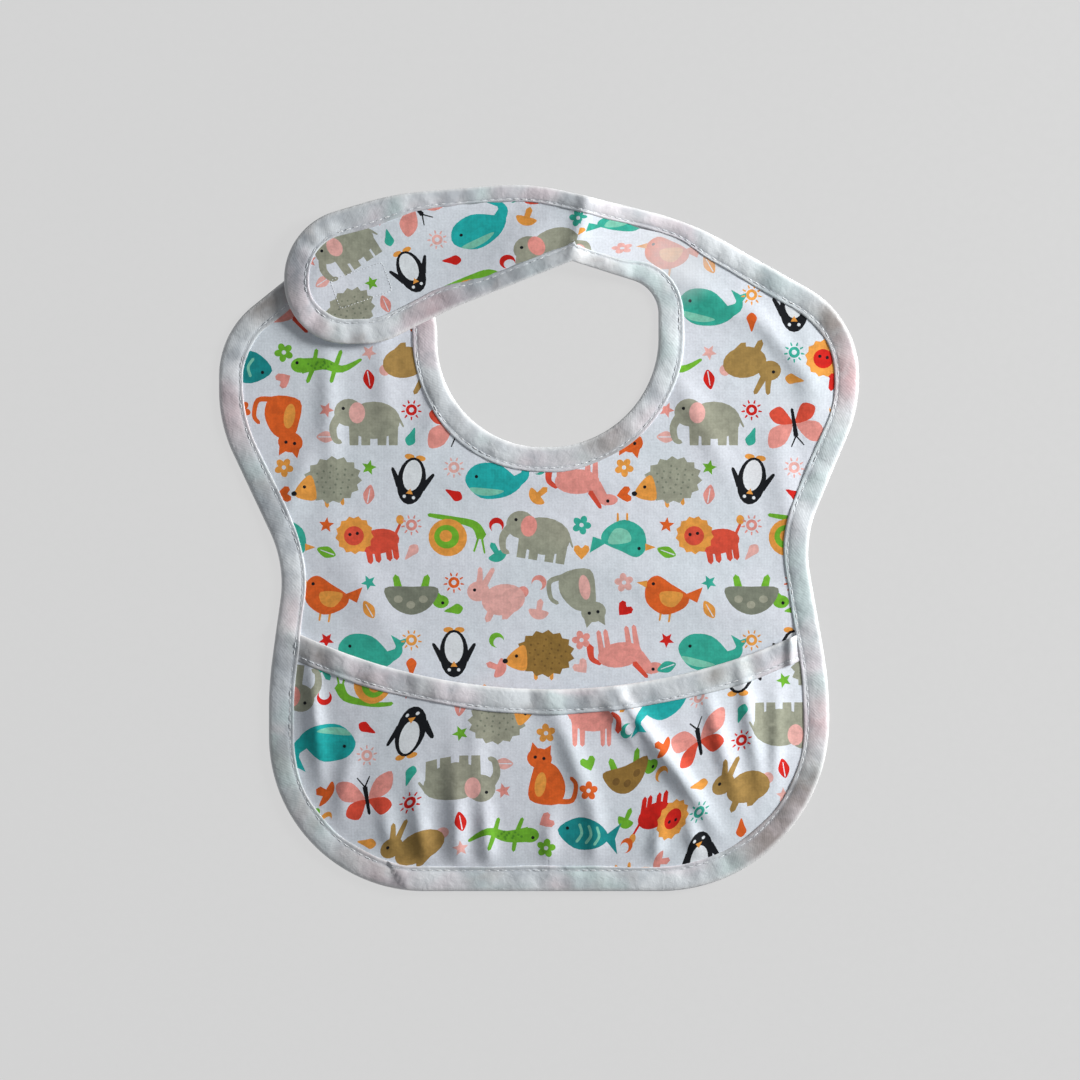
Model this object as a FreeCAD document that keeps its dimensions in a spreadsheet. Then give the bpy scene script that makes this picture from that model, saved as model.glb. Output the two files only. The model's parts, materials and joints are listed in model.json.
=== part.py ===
"""A child's feeding bib of waterproof printed cloth, edged with folded tape, with a catch-all pocket
and a neck strap that closes on a patch of hook-and-loop tape on the left shoulder.

The bib lies face up on a table. Millimetres. Origin: centre of the bib's outline, on the table.
+X is to the right of a person facing the bib, +Y runs from the hem to the neck, +Z is up from the table.

From the table up, the cloth is a stack: back fold of the tape, waterproof film, printed cloth, front
fold of the tape. The left shoulder and the body lie flat. The right shoulder narrows into the strap's
root, which ramps up to a crease. The strap drops from the crease to the tab, and the tab lies flat on
the left shoulder.
The cloth is cut into a piece per bend, because a bend needs a rigid piece on each side of it.
"""
import FreeCAD
import Part
import math
import os

V = FreeCAD.Vector
DIMENSIONS = {
    # the stack
    "tape_thick": 0.45,
    "film_thick": 0.15,
    "cloth_thick": 0.35,
    "tape_width": 10.0,
    "thread_width": 0.3,
    "thread_high": 0.12,
    "stitch_inset": 8.2,
    # the outline
    "half_width": 128.0,
    "half_length": 141.0,
    "hem_right": 116.0,
    "hem_left": -108.0,
    "hem_right_radius": 68.0,
    "hem_left_radius": 62.0,
    "waist_right": 106.0,
    "waist_left": -101.5,
    "waist_radius": 48.0,
    "lobe_top": 119.2,
    "neck_centre_x": 3.2,
    "neck_centre_y": 80.4,
    "neck_radius": 43.8,
    # the strap, its crease and its tab
    "crease_x": 16.4,
    "crease_y": 124.8,
    "crease_turn": 12.7,
    "crease_to_top": 12.0,
    "crease_to_neck": 14.6,
    "crease_high": 7.5,
    "climb_length": 34.0,
    "drop_length": 46.0,
    "peel_x": -42.0,
    "peel_y": 113.5,
    "peel_turn": 19.5,
    "hinge_gap": 0.4,
    # hook-and-loop closure
    "patch_thick": 1.25,
    "patch_gap": 0.05,
    "patch_corner": 2.0,
    "patch_stitch_inset": 1.5,
    "loop_x": -70.0,
    "loop_y": 96.5,
    "loop_long": 27.0,
    "loop_wide": 15.0,
    "hook_x": -71.0,
    "hook_y": 101.0,
    "hook_long": 25.0,
    "hook_wide": 15.0,
    # the pocket
    "mouth_radius": 238.0,
    "mouth_x": 4.0,
    "mouth_low": -60.0,
    "pocket_bulge": 8.0,
    "pocket_gap": 0.6,
    "pocket_rest": 0.15,
    "pocket_half_width": 103.5,
    "pocket_depth": 92.0,
    "pocket_crown_y": -42.0,
}
REACH = 400.0  # longer than the bib, for the blocks that pieces are cut from
TALL = 60.0

doc = FreeCAD.newDocument("bib")
sheet = doc.addObject("Spreadsheet::Sheet", "dims")
for row, (alias, value) in enumerate(DIMENSIONS.items(), start=1):
    sheet.set(f"A{row}", alias)
    sheet.set(f"B{row}", str(value))
    sheet.setAlias(f"B{row}", alias)
doc.recompute()


def dim(alias):
    return float(sheet.get(alias))


# ---------------------------------------------------------------- heights of the stack
CLOTH_TOP = dim("tape_thick") + dim("film_thick") + dim("cloth_thick")
TAB_LIFT = CLOTH_TOP + 2 * dim("patch_thick") + dim("patch_gap") - dim("tape_thick")

# ---------------------------------------------------------------- directions in plan
CREASE_TURN = math.radians(dim("crease_turn"))
ALONG_CREASE = V(math.sin(CREASE_TURN), math.cos(CREASE_TURN), 0)
FROM_CREASE = V(math.cos(CREASE_TURN), -math.sin(CREASE_TURN), 0)
CREASE = V(dim("crease_x"), dim("crease_y"), 0)
PEEL_TURN = math.radians(dim("peel_turn"))
TAB_WAY = V(-math.cos(PEEL_TURN), -math.sin(PEEL_TURN), 0)
ALONG_PEEL = V(-math.sin(PEEL_TURN), math.cos(PEEL_TURN), 0)
PEEL = V(dim("peel_x"), dim("peel_y"), 0)
UP = V(0, 0, 1)


# ---------------------------------------------------------------- outlines
def rounded(corners):
    """Lines and tangent arcs of a closed outline, from its corners (x, y, radius)."""
    count = len(corners)
    arcs = []
    for i, (x, y, radius) in enumerate(corners):
        here = V(x, y, 0)
        before = V(*corners[i - 1][:2], 0) - here
        after = V(*corners[(i + 1) % count][:2], 0) - here
        half_open = before.getAngle(after) / 2
        reach = radius / math.tan(half_open)
        way_in, way_out = before.normalize(), after.normalize()
        middle = (way_in + way_out).normalize()
        apex = here + middle * (radius / math.sin(half_open) - radius)
        arcs.append((here + way_in * reach, apex, here + way_out * reach))
    pieces = []
    for i, (start, apex, end) in enumerate(arcs):
        pieces.append(Part.Arc(start, apex, end))
        pieces.append(Part.LineSegment(end, arcs[(i + 1) % count][0]))
    return pieces


def outline_sketch(name, corners):
    sketch = doc.addObject("Sketcher::SketchObject", name)
    sketch.addGeometry(rounded(corners), False)
    return sketch


def past(start, towards, by):
    """The point by beyond start, on the line from towards through start."""
    return start + (start - towards).normalize() * by


HALF_WIDTH, HALF_LENGTH = dim("half_width"), dim("half_length")
NECK_X, NECK_Y, NECK_R = dim("neck_centre_x"), dim("neck_centre_y"), dim("neck_radius")
CREASE_TOP = CREASE + ALONG_CREASE * dim("crease_to_top")
CREASE_LOW = CREASE - ALONG_CREASE * dim("crease_to_neck")
ROOT_TOP_EDGE = V(60.0, 127.0, 0)
ROOT_LOW_EDGE = V(NECK_X + NECK_R + 0.7, 100.0, 0)
STRAP_TOP_EDGE = V(-4.0, 142.0, 0)
TAB_LOW_EDGE = V(-34.0, 92.2, 0)
SIDE_Y = -58.0  # where the sides start to swell out from the hem to the shoulders
SIDE_RADIUS = 150.0
TAB_END_X, TAB_LOW_Y, TAB_HIGH_Y = -101.8, 77.6, 124.6
SPARE = 14.0  # how far an outline runs on past the crease, where it is cut off
SHARP = 0.01
root_spare_top = past(CREASE_TOP, ROOT_TOP_EDGE, SPARE)
root_spare_low = past(CREASE_LOW, ROOT_LOW_EDGE, SPARE)
strap_spare_top = past(CREASE_TOP, STRAP_TOP_EDGE, SPARE)
strap_spare_low = past(CREASE_LOW, TAB_LOW_EDGE, SPARE)

BODY_CORNERS = [
    (root_spare_top.x, root_spare_top.y, SHARP),
    (ROOT_TOP_EDGE.x, ROOT_TOP_EDGE.y, 120.0),
    (HALF_WIDTH, 88.5, 40.0),  # right shoulder
    (HALF_WIDTH, 52.0, 60.0),
    (dim("waist_right"), -0.3, dim("waist_radius")),
    (dim("hem_right"), SIDE_Y, SIDE_RADIUS),
    (dim("hem_right"), -HALF_LENGTH, dim("hem_right_radius")),
    (dim("hem_left"), -HALF_LENGTH, dim("hem_left_radius")),
    (dim("hem_left"), SIDE_Y, SIDE_RADIUS),
    (dim("waist_left"), -10.4, dim("waist_radius")),
    (-HALF_WIDTH, 46.0, 60.0),
    (-HALF_WIDTH, 82.0, 36.0),  # left shoulder
    (-82.0, dim("lobe_top"), 30.0),
    (-47.2, dim("lobe_top"), 24.0),
    (NECK_X - NECK_R, 84.0, 40.0),  # neck
    (NECK_X - NECK_R, NECK_Y - NECK_R, 42.0),
    (ROOT_LOW_EDGE.x, NECK_Y - NECK_R, NECK_R),
    (ROOT_LOW_EDGE.x, ROOT_LOW_EDGE.y, 14.0),
    (root_spare_low.x, root_spare_low.y, SHARP),
]
STRAP_CORNERS = [
    (strap_spare_top.x, strap_spare_top.y, SHARP),
    (STRAP_TOP_EDGE.x, STRAP_TOP_EDGE.y, 90.0),
    (-58.0, 137.6, 110.0),
    (TAB_END_X, TAB_HIGH_Y, 28.0),
    (TAB_END_X, TAB_LOW_Y, 25.0),
    (-63.0, TAB_LOW_Y, 30.0),
    (TAB_LOW_EDGE.x, TAB_LOW_EDGE.y, 150.0),
    (strap_spare_low.x, strap_spare_low.y, SHARP),
]
body_outline = outline_sketch("body_outline", BODY_CORNERS)
strap_outline = outline_sketch("strap_outline", STRAP_CORNERS)
doc.recompute()


# ---------------------------------------------------------------- regions in plan, as tall blocks
def block_inside(name, outline, inset):
    """A tall block whose walls stand inset (an expression) inside the outline."""
    source = outline
    if inset != "0":
        source = doc.addObject("Part::Offset2D", name + "_edge")
        source.Source = outline
        source.setExpression("Value", f"-({inset})")
    block = doc.addObject("Part::Extrusion", name)
    block.Base = source
    block.DirMode = "Custom"
    block.Dir = UP
    block.LengthFwd = TALL / 2
    block.LengthRev = TALL / 2
    block.Solid = True
    return block


def boolean(kind, name, base, tool):
    made = doc.addObject(f"Part::{kind}", name)
    made.Base = base
    made.Tool = tool
    return made


PANEL_EDGE = "dims.tape_thick"
THREAD_OUT = "dims.stitch_inset"
THREAD_IN = "dims.stitch_inset + dims.thread_width"
regions = {}
for part_name, outline in (("body", body_outline), ("strap", strap_outline)):
    whole = block_inside(part_name + "_whole", outline, "0")
    inner = block_inside(part_name + "_inner", outline, "dims.tape_width")
    regions[part_name, "panel"] = block_inside(part_name + "_panel_block", outline, PANEL_EDGE)
    regions[part_name, "tape"] = boolean("Cut", part_name + "_tape_block", whole, inner)
    thread_out = block_inside(part_name + "_thread_out", outline, THREAD_OUT)
    thread_in = block_inside(part_name + "_thread_in", outline, THREAD_IN)
    regions[part_name, "thread"] = boolean("Cut", part_name + "_thread_block", thread_out, thread_in)
doc.recompute()


# ---------------------------------------------------------------- the surfaces that the cloth follows
def flat_surface(name, high):
    plane = doc.addObject("Part::Plane", name)
    plane.Length = REACH
    plane.Width = REACH
    plane.Placement = FreeCAD.Placement(V(-REACH / 2, -REACH / 2, high), FreeCAD.Rotation())
    return plane


def bent_surface(name, way, length, low, high):
    """From a bend line at low, a curve that leaves it level and climbs to the crease at high."""
    foot = CREASE + way * length + UP * low
    middle = CREASE + way * (length / 2) + UP * low
    curve = Part.BezierCurve()
    curve.setPoles([foot, middle, CREASE + UP * high])
    line = doc.addObject("Part::Feature", name + "_line")
    line.Shape = curve.toShape()
    surface = doc.addObject("Part::Extrusion", name)
    surface.Base = line
    surface.DirMode = "Custom"
    surface.Dir = ALONG_CREASE
    surface.LengthFwd = SWEEP
    surface.LengthRev = SWEEP
    return surface


def layer_on(name, surface, low, high):
    """A sheet of material that follows a surface, between two heights (expressions) above it."""
    layer = doc.addObject("Part::Extrusion", name)
    layer.Base = surface
    layer.DirMode = "Custom"
    layer.Dir = UP
    layer.setExpression("LengthFwd", high)
    layer.setExpression("LengthRev", f"-({low})")
    return layer


def tall_box(name, corner, way_1, way_2, length, width):
    box = doc.addObject("Part::Box", name)
    box.Length = length
    box.Width = width
    box.Height = TALL
    box.Placement = FreeCAD.Placement(corner - UP * TALL / 2, FreeCAD.Rotation(way_1, way_2, UP, "ZXY"))
    return box


SWEEP = 40.0  # half the size of the bent surfaces along the crease
table_level = flat_surface("table_level", 0.0)
tab_level = flat_surface("tab_level", TAB_LIFT)
climb = bent_surface("climb", FROM_CREASE, dim("climb_length"), 0.0, dim("crease_high"))
drop = bent_surface("drop", FROM_CREASE * -1, dim("drop_length"), TAB_LIFT, dim("crease_high"))

right_of_crease = CREASE + FROM_CREASE * dim("hinge_gap") - ALONG_CREASE * SWEEP
left_of_crease = CREASE - FROM_CREASE * dim("hinge_gap") + ALONG_CREASE * SWEEP
climb_foot = tall_box(
    "climb_foot",
    CREASE + FROM_CREASE * dim("climb_length") + ALONG_CREASE * SWEEP,
    FROM_CREASE * -1,
    ALONG_CREASE * -1,
    dim("climb_length") + 2 * SPARE,
    2 * SWEEP,
)
drop_foot = tall_box(
    "drop_foot",
    CREASE - FROM_CREASE * dim("drop_length") - ALONG_CREASE * SWEEP,
    FROM_CREASE,
    ALONG_CREASE,
    dim("drop_length") + 2 * SPARE,
    2 * SWEEP,
)
climb_side = tall_box(
    "climb_side", right_of_crease, FROM_CREASE, ALONG_CREASE, 2 * SWEEP, 2 * SWEEP
)
drop_side = tall_box(
    "drop_side", left_of_crease, FROM_CREASE * -1, ALONG_CREASE * -1, 2 * SWEEP, 2 * SWEEP
)
strap_side = tall_box(
    "strap_side",
    PEEL - TAB_WAY * dim("hinge_gap") - ALONG_PEEL * SWEEP,
    TAB_WAY * -1,
    ALONG_PEEL,
    REACH,
    2 * SWEEP,
)
tab_side = tall_box(
    "tab_side",
    PEEL + TAB_WAY * dim("hinge_gap") + ALONG_PEEL * SWEEP,
    TAB_WAY,
    ALONG_PEEL * -1,
    REACH,
    2 * SWEEP,
)

TAPE, FILM, CLOTH = "dims.tape_thick", "dims.film_thick", "dims.cloth_thick"
LAYERS = {
    "film": (TAPE, f"{TAPE} + {FILM}"),
    "cloth": (f"{TAPE} + {FILM}", f"{TAPE} + {FILM} + {CLOTH}"),
    "laminate": (TAPE, f"{TAPE} + {FILM} + {CLOTH}"),
    "stack": ("0", f"2 * {TAPE} + {FILM} + {CLOTH}"),
    "thread": (f"2 * {TAPE} + {FILM} + {CLOTH}", f"2 * {TAPE} + {FILM} + {CLOTH} + dims.thread_high"),
}


def body_layer(kind):
    flat = layer_on(f"body_{kind}_flat", table_level, *LAYERS[kind])
    raised = layer_on(f"body_{kind}_climb", climb, *LAYERS[kind])
    level = boolean("Cut", f"body_{kind}_level", flat, climb_foot)
    bent = boolean("Common", f"body_{kind}_bent", raised, climb_side)
    return boolean("Fuse", f"body_{kind}_layer", level, bent)


def strap_layer(kind):
    flat = layer_on(f"strap_{kind}_flat", tab_level, *LAYERS[kind])
    raised = layer_on(f"strap_{kind}_drop", drop, *LAYERS[kind])
    level = boolean("Cut", f"strap_{kind}_level", flat, drop_foot)
    bent = boolean("Common", f"strap_{kind}_bent", raised, drop_side)
    joined = boolean("Fuse", f"strap_{kind}_joined", level, bent)
    return boolean("Common", f"strap_{kind}_layer", joined, strap_side)


def tab_layer(kind):
    flat = layer_on(f"tab_{kind}_flat", tab_level, *LAYERS[kind])
    return boolean("Common", f"tab_{kind}_layer", flat, tab_side)


subparts = []


def subpart(obj, label):
    obj.Label = label
    subparts.append(obj)
    return obj


def edged_cloth(place, region, make_layer, labels):
    """Printed cloth, its film, the folded tape round its edge and the thread along the tape."""
    panel, backing, binding, stitching = labels
    layers = {kind: make_layer(kind) for kind in LAYERS}
    panel_block = regions[region, "panel"]
    subpart(boolean("Common", place + "_cloth", layers["cloth"], panel_block), panel)
    subpart(boolean("Common", place + "_film", layers["film"], panel_block), backing)
    tape_solid = boolean("Common", place + "_tape_solid", layers["stack"], regions[region, "tape"])
    laminate = boolean("Common", place + "_laminate", layers["laminate"], panel_block)
    subpart(boolean("Cut", place + "_tape", tape_solid, laminate), binding)
    subpart(boolean("Common", place + "_thread", layers["thread"], regions[region, "thread"]), stitching)


BODY_LABELS = ("body_panel", "body_backing", "edge_binding", "edge_stitching")
STRAP_LABELS = ("strap_panel", "strap_backing", "strap_binding", "strap_stitching")
TAB_LABELS = ("tab_panel", "tab_backing", "tab_binding", "tab_stitching")
edged_cloth("body", "body", body_layer, BODY_LABELS)
edged_cloth("strap", "strap", strap_layer, STRAP_LABELS)
edged_cloth("tab", "strap", tab_layer, TAB_LABELS)
doc.recompute()


# ---------------------------------------------------------------- hook-and-loop patches
def patch(name, low, turn):
    """A flat patch with rounded corners: a padded rectangle."""
    body = doc.addObject("PartDesign::Body", name + "_body")
    sketch = body.newObject("Sketcher::SketchObject", name + "_sketch")
    plane = next(f for f in body.Origin.OriginFeatures if f.Role == "XY_Plane")
    sketch.AttachmentSupport = (plane, "")
    sketch.MapMode = "FlatFace"
    x, y, radius = dim(name + "_long") / 2, dim(name + "_wide") / 2, dim("patch_corner")
    sketch.addGeometry(rounded([(-x, -y, radius), (x, -y, radius), (x, y, radius), (-x, y, radius)]), False)
    pad = body.newObject("PartDesign::Pad", name + "_pad")
    pad.Profile = sketch
    pad.setExpression("Length", "dims.patch_thick")
    centre = V(dim(name + "_x"), dim(name + "_y"), low)
    body.Placement = FreeCAD.Placement(centre, FreeCAD.Rotation(UP, turn))
    return body


def thread_frame(name, inset, low, turn):
    """A thin box the size of a patch less an inset (an expression) all round."""
    box = doc.addObject("Part::Box", name + "_thread_box")
    box.setExpression("Length", f"dims.{name}_long - 2 * ({inset})")
    box.setExpression("Width", f"dims.{name}_wide - 2 * ({inset})")
    box.setExpression("Height", "dims.thread_high")
    doc.recompute()
    turned = FreeCAD.Rotation(UP, turn)
    centre = V(dim(name + "_x"), dim(name + "_y"), low)
    corner = V(-box.Length.Value / 2, -box.Width.Value / 2, 0)
    box.Placement = FreeCAD.Placement(centre + turned.multVec(corner), turned)
    return box


def patch_thread(name, low, turn):
    """The thread that holds a patch, near the patch's edge."""
    outer = thread_frame(name, "dims.patch_stitch_inset", low, turn)
    inner = thread_frame(name, "dims.patch_stitch_inset + dims.thread_width", low, turn)
    return boolean("Cut", name + "_thread", outer, inner)


TAB_TURN = dim("peel_turn")
hook_low = CLOTH_TOP + dim("patch_thick") + dim("patch_gap")
# The loop patch's thread sits below the film, on the bib's back. The hook patch's sits on the tab's front.
loop_thread_low = dim("tape_thick") - dim("thread_high")
hook_thread_low = TAB_LIFT + CLOTH_TOP
subpart(patch("loop", CLOTH_TOP, 0.0), "loop_patch")
subpart(patch("hook", hook_low, TAB_TURN), "hook_patch")
subpart(patch_thread("loop", loop_thread_low, 0.0), "loop_patch_stitching")
subpart(patch_thread("hook", hook_thread_low, TAB_TURN), "hook_patch_stitching")


# ---------------------------------------------------------------- the pocket
POCKET_LOW = CLOTH_TOP + dim("pocket_rest")  # underside of the pocket's tape, at its sewn edge
SQUARENESS, EDGE_FALL, EDGE_SOFTNESS = 3.5, 3, 1.2  # the pouch's shape in plan and towards its edge


def pocket_height(x, y):
    """How far the pocket stands off the body: a pouch, flat in the middle and down at its sewn edges."""
    across = abs(x - dim("mouth_x")) / dim("pocket_half_width")
    down = abs(y - dim("pocket_crown_y")) / dim("pocket_depth")
    out = (across**SQUARENESS + down**SQUARENESS) ** (1 / SQUARENESS)
    return dim("pocket_bulge") * max(0.0, 1 - out**EDGE_FALL) ** EDGE_SOFTNESS


POCKET_COLUMNS, POCKET_ROWS = 28, 18
POCKET_SPAN = 216.0  # the pouch surface's width and its low and high ends, a little beyond the pocket
POCKET_FROM_Y, POCKET_TO_Y = -136.0, -24.0
grid = []
for i in range(POCKET_COLUMNS):
    x = dim("mouth_x") + (i / (POCKET_COLUMNS - 1) - 0.5) * POCKET_SPAN
    column = []
    for j in range(POCKET_ROWS):
        y = POCKET_FROM_Y + (POCKET_TO_Y - POCKET_FROM_Y) * j / (POCKET_ROWS - 1)
        column.append(V(x, y, POCKET_LOW + pocket_height(x, y)))
    grid.append(column)
pouch = Part.BSplineSurface()
pouch.interpolate(grid)
pocket_surface = doc.addObject("Part::Feature", "pocket_surface")
pocket_surface.Shape = pouch.toShape()

AREA_LOW_Y, AREA_HEIGHT = -155.0, 130.0  # the part of the body's outline that the pocket can cover
mouth_centre = V(dim("mouth_x"), dim("mouth_low") + dim("mouth_radius"), -TALL / 2)


def mouth_disc(name, extra):
    """A tall round block: all that lies above the mouth's curve, moved down by extra."""
    disc = doc.addObject("Part::Cylinder", name)
    disc.setExpression("Radius", f"dims.mouth_radius + {extra}")
    disc.Height = TALL
    disc.Placement = FreeCAD.Placement(mouth_centre, FreeCAD.Rotation())
    return disc


pocket_block = block_inside("pocket_block", body_outline, "dims.tape_width + dims.pocket_gap")
area_corner = V(-REACH / 2, AREA_LOW_Y, -TALL / 2)
pocket_area = doc.addObject("Part::Box", "pocket_area")
pocket_area.Length = REACH
pocket_area.Width = AREA_HEIGHT
pocket_area.Height = TALL
pocket_area.Placement = FreeCAD.Placement(area_corner, FreeCAD.Rotation())
pocket_whole = boolean("Common", "pocket_whole", pocket_block, pocket_area)
above_mouth = mouth_disc("above_mouth", "0")
above_cloth = mouth_disc("above_cloth", "dims.tape_thick")
above_tape_end = mouth_disc("above_tape_end", "dims.tape_width")
above_thread_out = mouth_disc("above_thread_out", "dims.stitch_inset")
above_thread_in = mouth_disc("above_thread_in", "dims.stitch_inset + dims.thread_width")

pocket_panel_area = boolean("Cut", "pocket_panel_area", pocket_whole, above_cloth)
pocket_layers = {kind: layer_on(f"pocket_{kind}_layer", pocket_surface, *LAYERS[kind]) for kind in LAYERS}
subpart(boolean("Common", "pocket_cloth", pocket_layers["cloth"], pocket_panel_area), "pocket_panel")
subpart(boolean("Common", "pocket_film", pocket_layers["film"], pocket_panel_area), "pocket_backing")

band_below = boolean("Cut", "band_below", pocket_whole, above_mouth)
band_area = boolean("Common", "band_area", band_below, above_tape_end)
pocket_tape_solid = boolean("Common", "pocket_tape_solid", pocket_layers["stack"], band_area)
pocket_laminate = boolean("Common", "pocket_laminate", pocket_layers["laminate"], pocket_panel_area)
subpart(boolean("Cut", "pocket_tape", pocket_tape_solid, pocket_laminate), "pocket_binding")

thread_below = boolean("Cut", "pocket_thread_below", pocket_whole, above_thread_out)
thread_area = boolean("Common", "pocket_thread_area", thread_below, above_thread_in)
subpart(boolean("Common", "pocket_thread", pocket_layers["thread"], thread_area), "pocket_stitching")
doc.recompute()

# ---------------------------------------------------------------- one file for each sub-part
for obj in doc.Objects:
    if "Invalid" in obj.State or "Error" in obj.State:
        raise RuntimeError(f"{obj.Name} failed: {obj.State}")
os.makedirs("parts", exist_ok=True)
for obj in subparts:
    shape = obj.Shape
    if shape.isNull() or not shape.isValid() or not shape.Solids:
        raise RuntimeError(f"{obj.Label} has no valid solid")
    shape.exportStep(f"parts/{obj.Label}.step")
    print(f"{obj.Label:22s} solids {len(shape.Solids)}, volume {shape.Volume:.0f}")
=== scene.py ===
"""The looks of the feeding bib: printed cloth, its film, folded edge tape, stitches and closure patches.

Lengths are millimetres until a mesh is made. The cloth lies in the frame's own pose: the body flat on the
table, the strap's root climbing to a crease, the strap dropping from it to the tab on the left shoulder.
Every surface is a height above the table at a place in plan, so the layers stay one above another.
"""
import json
import math

import bpy
import numpy as np
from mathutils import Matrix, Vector
from mathutils.geometry import delaunay_2d_cdt


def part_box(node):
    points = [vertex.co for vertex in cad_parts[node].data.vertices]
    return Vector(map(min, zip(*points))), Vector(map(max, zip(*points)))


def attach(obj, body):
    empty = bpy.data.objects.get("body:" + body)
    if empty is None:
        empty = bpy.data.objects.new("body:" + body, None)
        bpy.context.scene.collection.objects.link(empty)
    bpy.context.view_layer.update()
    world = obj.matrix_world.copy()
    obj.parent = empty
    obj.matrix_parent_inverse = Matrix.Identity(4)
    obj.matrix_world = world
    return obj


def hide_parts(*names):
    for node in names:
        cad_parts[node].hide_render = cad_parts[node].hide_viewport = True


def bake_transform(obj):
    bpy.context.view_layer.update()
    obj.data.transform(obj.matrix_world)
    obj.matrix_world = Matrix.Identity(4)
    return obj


MM = 0.001
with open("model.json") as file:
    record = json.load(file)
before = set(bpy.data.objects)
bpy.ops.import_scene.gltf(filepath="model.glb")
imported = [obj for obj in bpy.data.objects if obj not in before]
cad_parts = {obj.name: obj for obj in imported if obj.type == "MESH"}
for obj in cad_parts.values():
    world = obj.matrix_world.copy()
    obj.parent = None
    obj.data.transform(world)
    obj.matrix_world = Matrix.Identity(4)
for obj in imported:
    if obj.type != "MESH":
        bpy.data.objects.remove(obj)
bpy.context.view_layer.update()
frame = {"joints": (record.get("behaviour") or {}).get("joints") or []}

# ---------------------------------------------------------------- places and heights, from the frame
JOINTS = {joint["name"]: joint for joint in frame["joints"]}


def node_box(node):
    low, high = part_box(node)
    return np.array(low) / MM, np.array(high) / MM


def joint_line(name):
    """A point on a hinge's axis, in millimetres, and the axis."""
    return np.array(JOINTS[name]["pos_m"]) / MM, np.array(JOINTS[name]["axis"])


CREASE, ALONG_CREASE = joint_line("strap_lift")
PEEL, ALONG_PEEL = joint_line("tab_peel")
ACROSS_CREASE = np.array([ALONG_CREASE[1], -ALONG_CREASE[0]])
CLOTH_TOP = node_box("loop_patch")[0][2]  # the printed face, where the bib lies flat
TAPE_TOP = node_box("edge_stitching")[0][2]
TAB_RISE = node_box("tab_panel")[1][2] - CLOTH_TOP
CREASE_RISE = CREASE[2] - TAPE_TOP
CLIMB_LENGTH = 40.0
DROP_LENGTH = 46.0
LAMINATE = 0.5  # cloth and film together
TAPE_WIDTH = 10.0
STITCH_INSET = 8.4
STITCH_PITCH = 3.25

# ---------------------------------------------------------------- the outline, in plan
CREASE_TO_TOP, CREASE_TO_NECK = 12.0, 14.6
CREASE_TOP = tuple(CREASE[:2] + ALONG_CREASE[:2] * CREASE_TO_TOP)
CREASE_LOW = tuple(CREASE[:2] - ALONG_CREASE[:2] * CREASE_TO_NECK)
NECK_X, NECK_Y, NECK_R = 3.2, 80.4, 43.8
BODY_CORNERS = [  # x, y and radius, from the crease round the body and back to it
    (*CREASE_TOP, 0),
    (60.0, 127.0, 120.0),
    (128.0, 88.5, 40.0),
    (128.0, 52.0, 60.0),
    (106.0, -0.3, 48.0),
    (116.0, -58.0, 150.0),
    (116.0, -141.0, 68.0),
    (-108.0, -141.0, 62.0),
    (-108.0, -58.0, 150.0),
    (-101.5, -10.4, 48.0),
    (-128.0, 46.0, 60.0),
    (-128.0, 82.0, 36.0),
    (-82.0, 119.2, 30.0),
    (-47.2, 119.2, 24.0),
    (NECK_X - NECK_R, 84.0, 40.0),
    (NECK_X - NECK_R, NECK_Y - NECK_R, 42.0),
    (NECK_X + NECK_R + 0.7, NECK_Y - NECK_R, NECK_R),
    (NECK_X + NECK_R + 0.7, 100.0, 14.0),
    (*CREASE_LOW, 0),
]
STRAP_CORNERS = [  # from the crease round the tab and back to it
    (*CREASE_LOW, 0),
    (-34.0, 92.2, 150.0),
    (-63.0, 77.6, 30.0),
    (-101.8, 77.6, 25.0),
    (-101.8, 124.6, 28.0),
    (-58.0, 137.6, 110.0),
    (-4.0, 142.0, 90.0),
    (*CREASE_TOP, 0),
]
MOUTH_X, MOUTH_LOW, MOUTH_R = 4.0, -60.0, 238.0
MOUTH_Y = MOUTH_LOW + MOUTH_R


def rounded_path(corners):
    """Points about 1 mm apart along an open outline with rounded corners."""
    points = [np.array(corners[0][:2])]
    for before, (x, y, radius), after in zip(corners, corners[1:], corners[2:]):
        here = np.array([x, y])
        way_in = np.array(before[:2]) - here
        way_out = np.array(after[:2]) - here
        way_in /= np.linalg.norm(way_in)
        way_out /= np.linalg.norm(way_out)
        half_open = math.acos(np.clip(way_in @ way_out, -1, 1)) / 2
        middle = (way_in + way_out) / np.linalg.norm(way_in + way_out)
        centre = here + middle * (radius / math.sin(half_open))
        start = here + way_in * (radius / math.tan(half_open)) - centre
        sweep = math.pi - 2 * half_open
        side = 1 if start[0] * -middle[1] - start[1] * -middle[0] > 0 else -1
        count = max(4, int(radius * sweep))
        for k in range(count + 1):
            a = side * sweep * k / count
            c, s = math.cos(a), math.sin(a)
            points.append(centre + np.array((start[0] * c - start[1] * s, start[0] * s + start[1] * c)))
    points.append(np.array(corners[-1][:2]))
    return np.array(points)


def evenly(points, spacing):
    """The same path, with its points a whole number of equal steps apart."""
    steps = np.linalg.norm(np.diff(points, axis=0), axis=1)
    along = np.concatenate([[0], np.cumsum(steps)])
    count = max(2, round(along[-1] / spacing))
    at = np.linspace(0, along[-1], count + 1)
    return np.stack([np.interp(at, along, points[:, k]) for k in (0, 1)], axis=1)


def inward(points):
    """Unit normals to the right of a path."""
    ahead = np.gradient(points, axis=0)
    ahead /= np.linalg.norm(ahead, axis=1)[:, None]
    return np.stack([ahead[:, 1], -ahead[:, 0]], axis=1)


BODY_PATH = rounded_path(BODY_CORNERS)
STRAP_PATH = rounded_path(STRAP_CORNERS)


def mouth_y(x):
    """The pocket's mouth: an arc."""
    return MOUTH_Y - np.sqrt(MOUTH_R**2 - (np.asarray(x) - MOUTH_X) ** 2)


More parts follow.
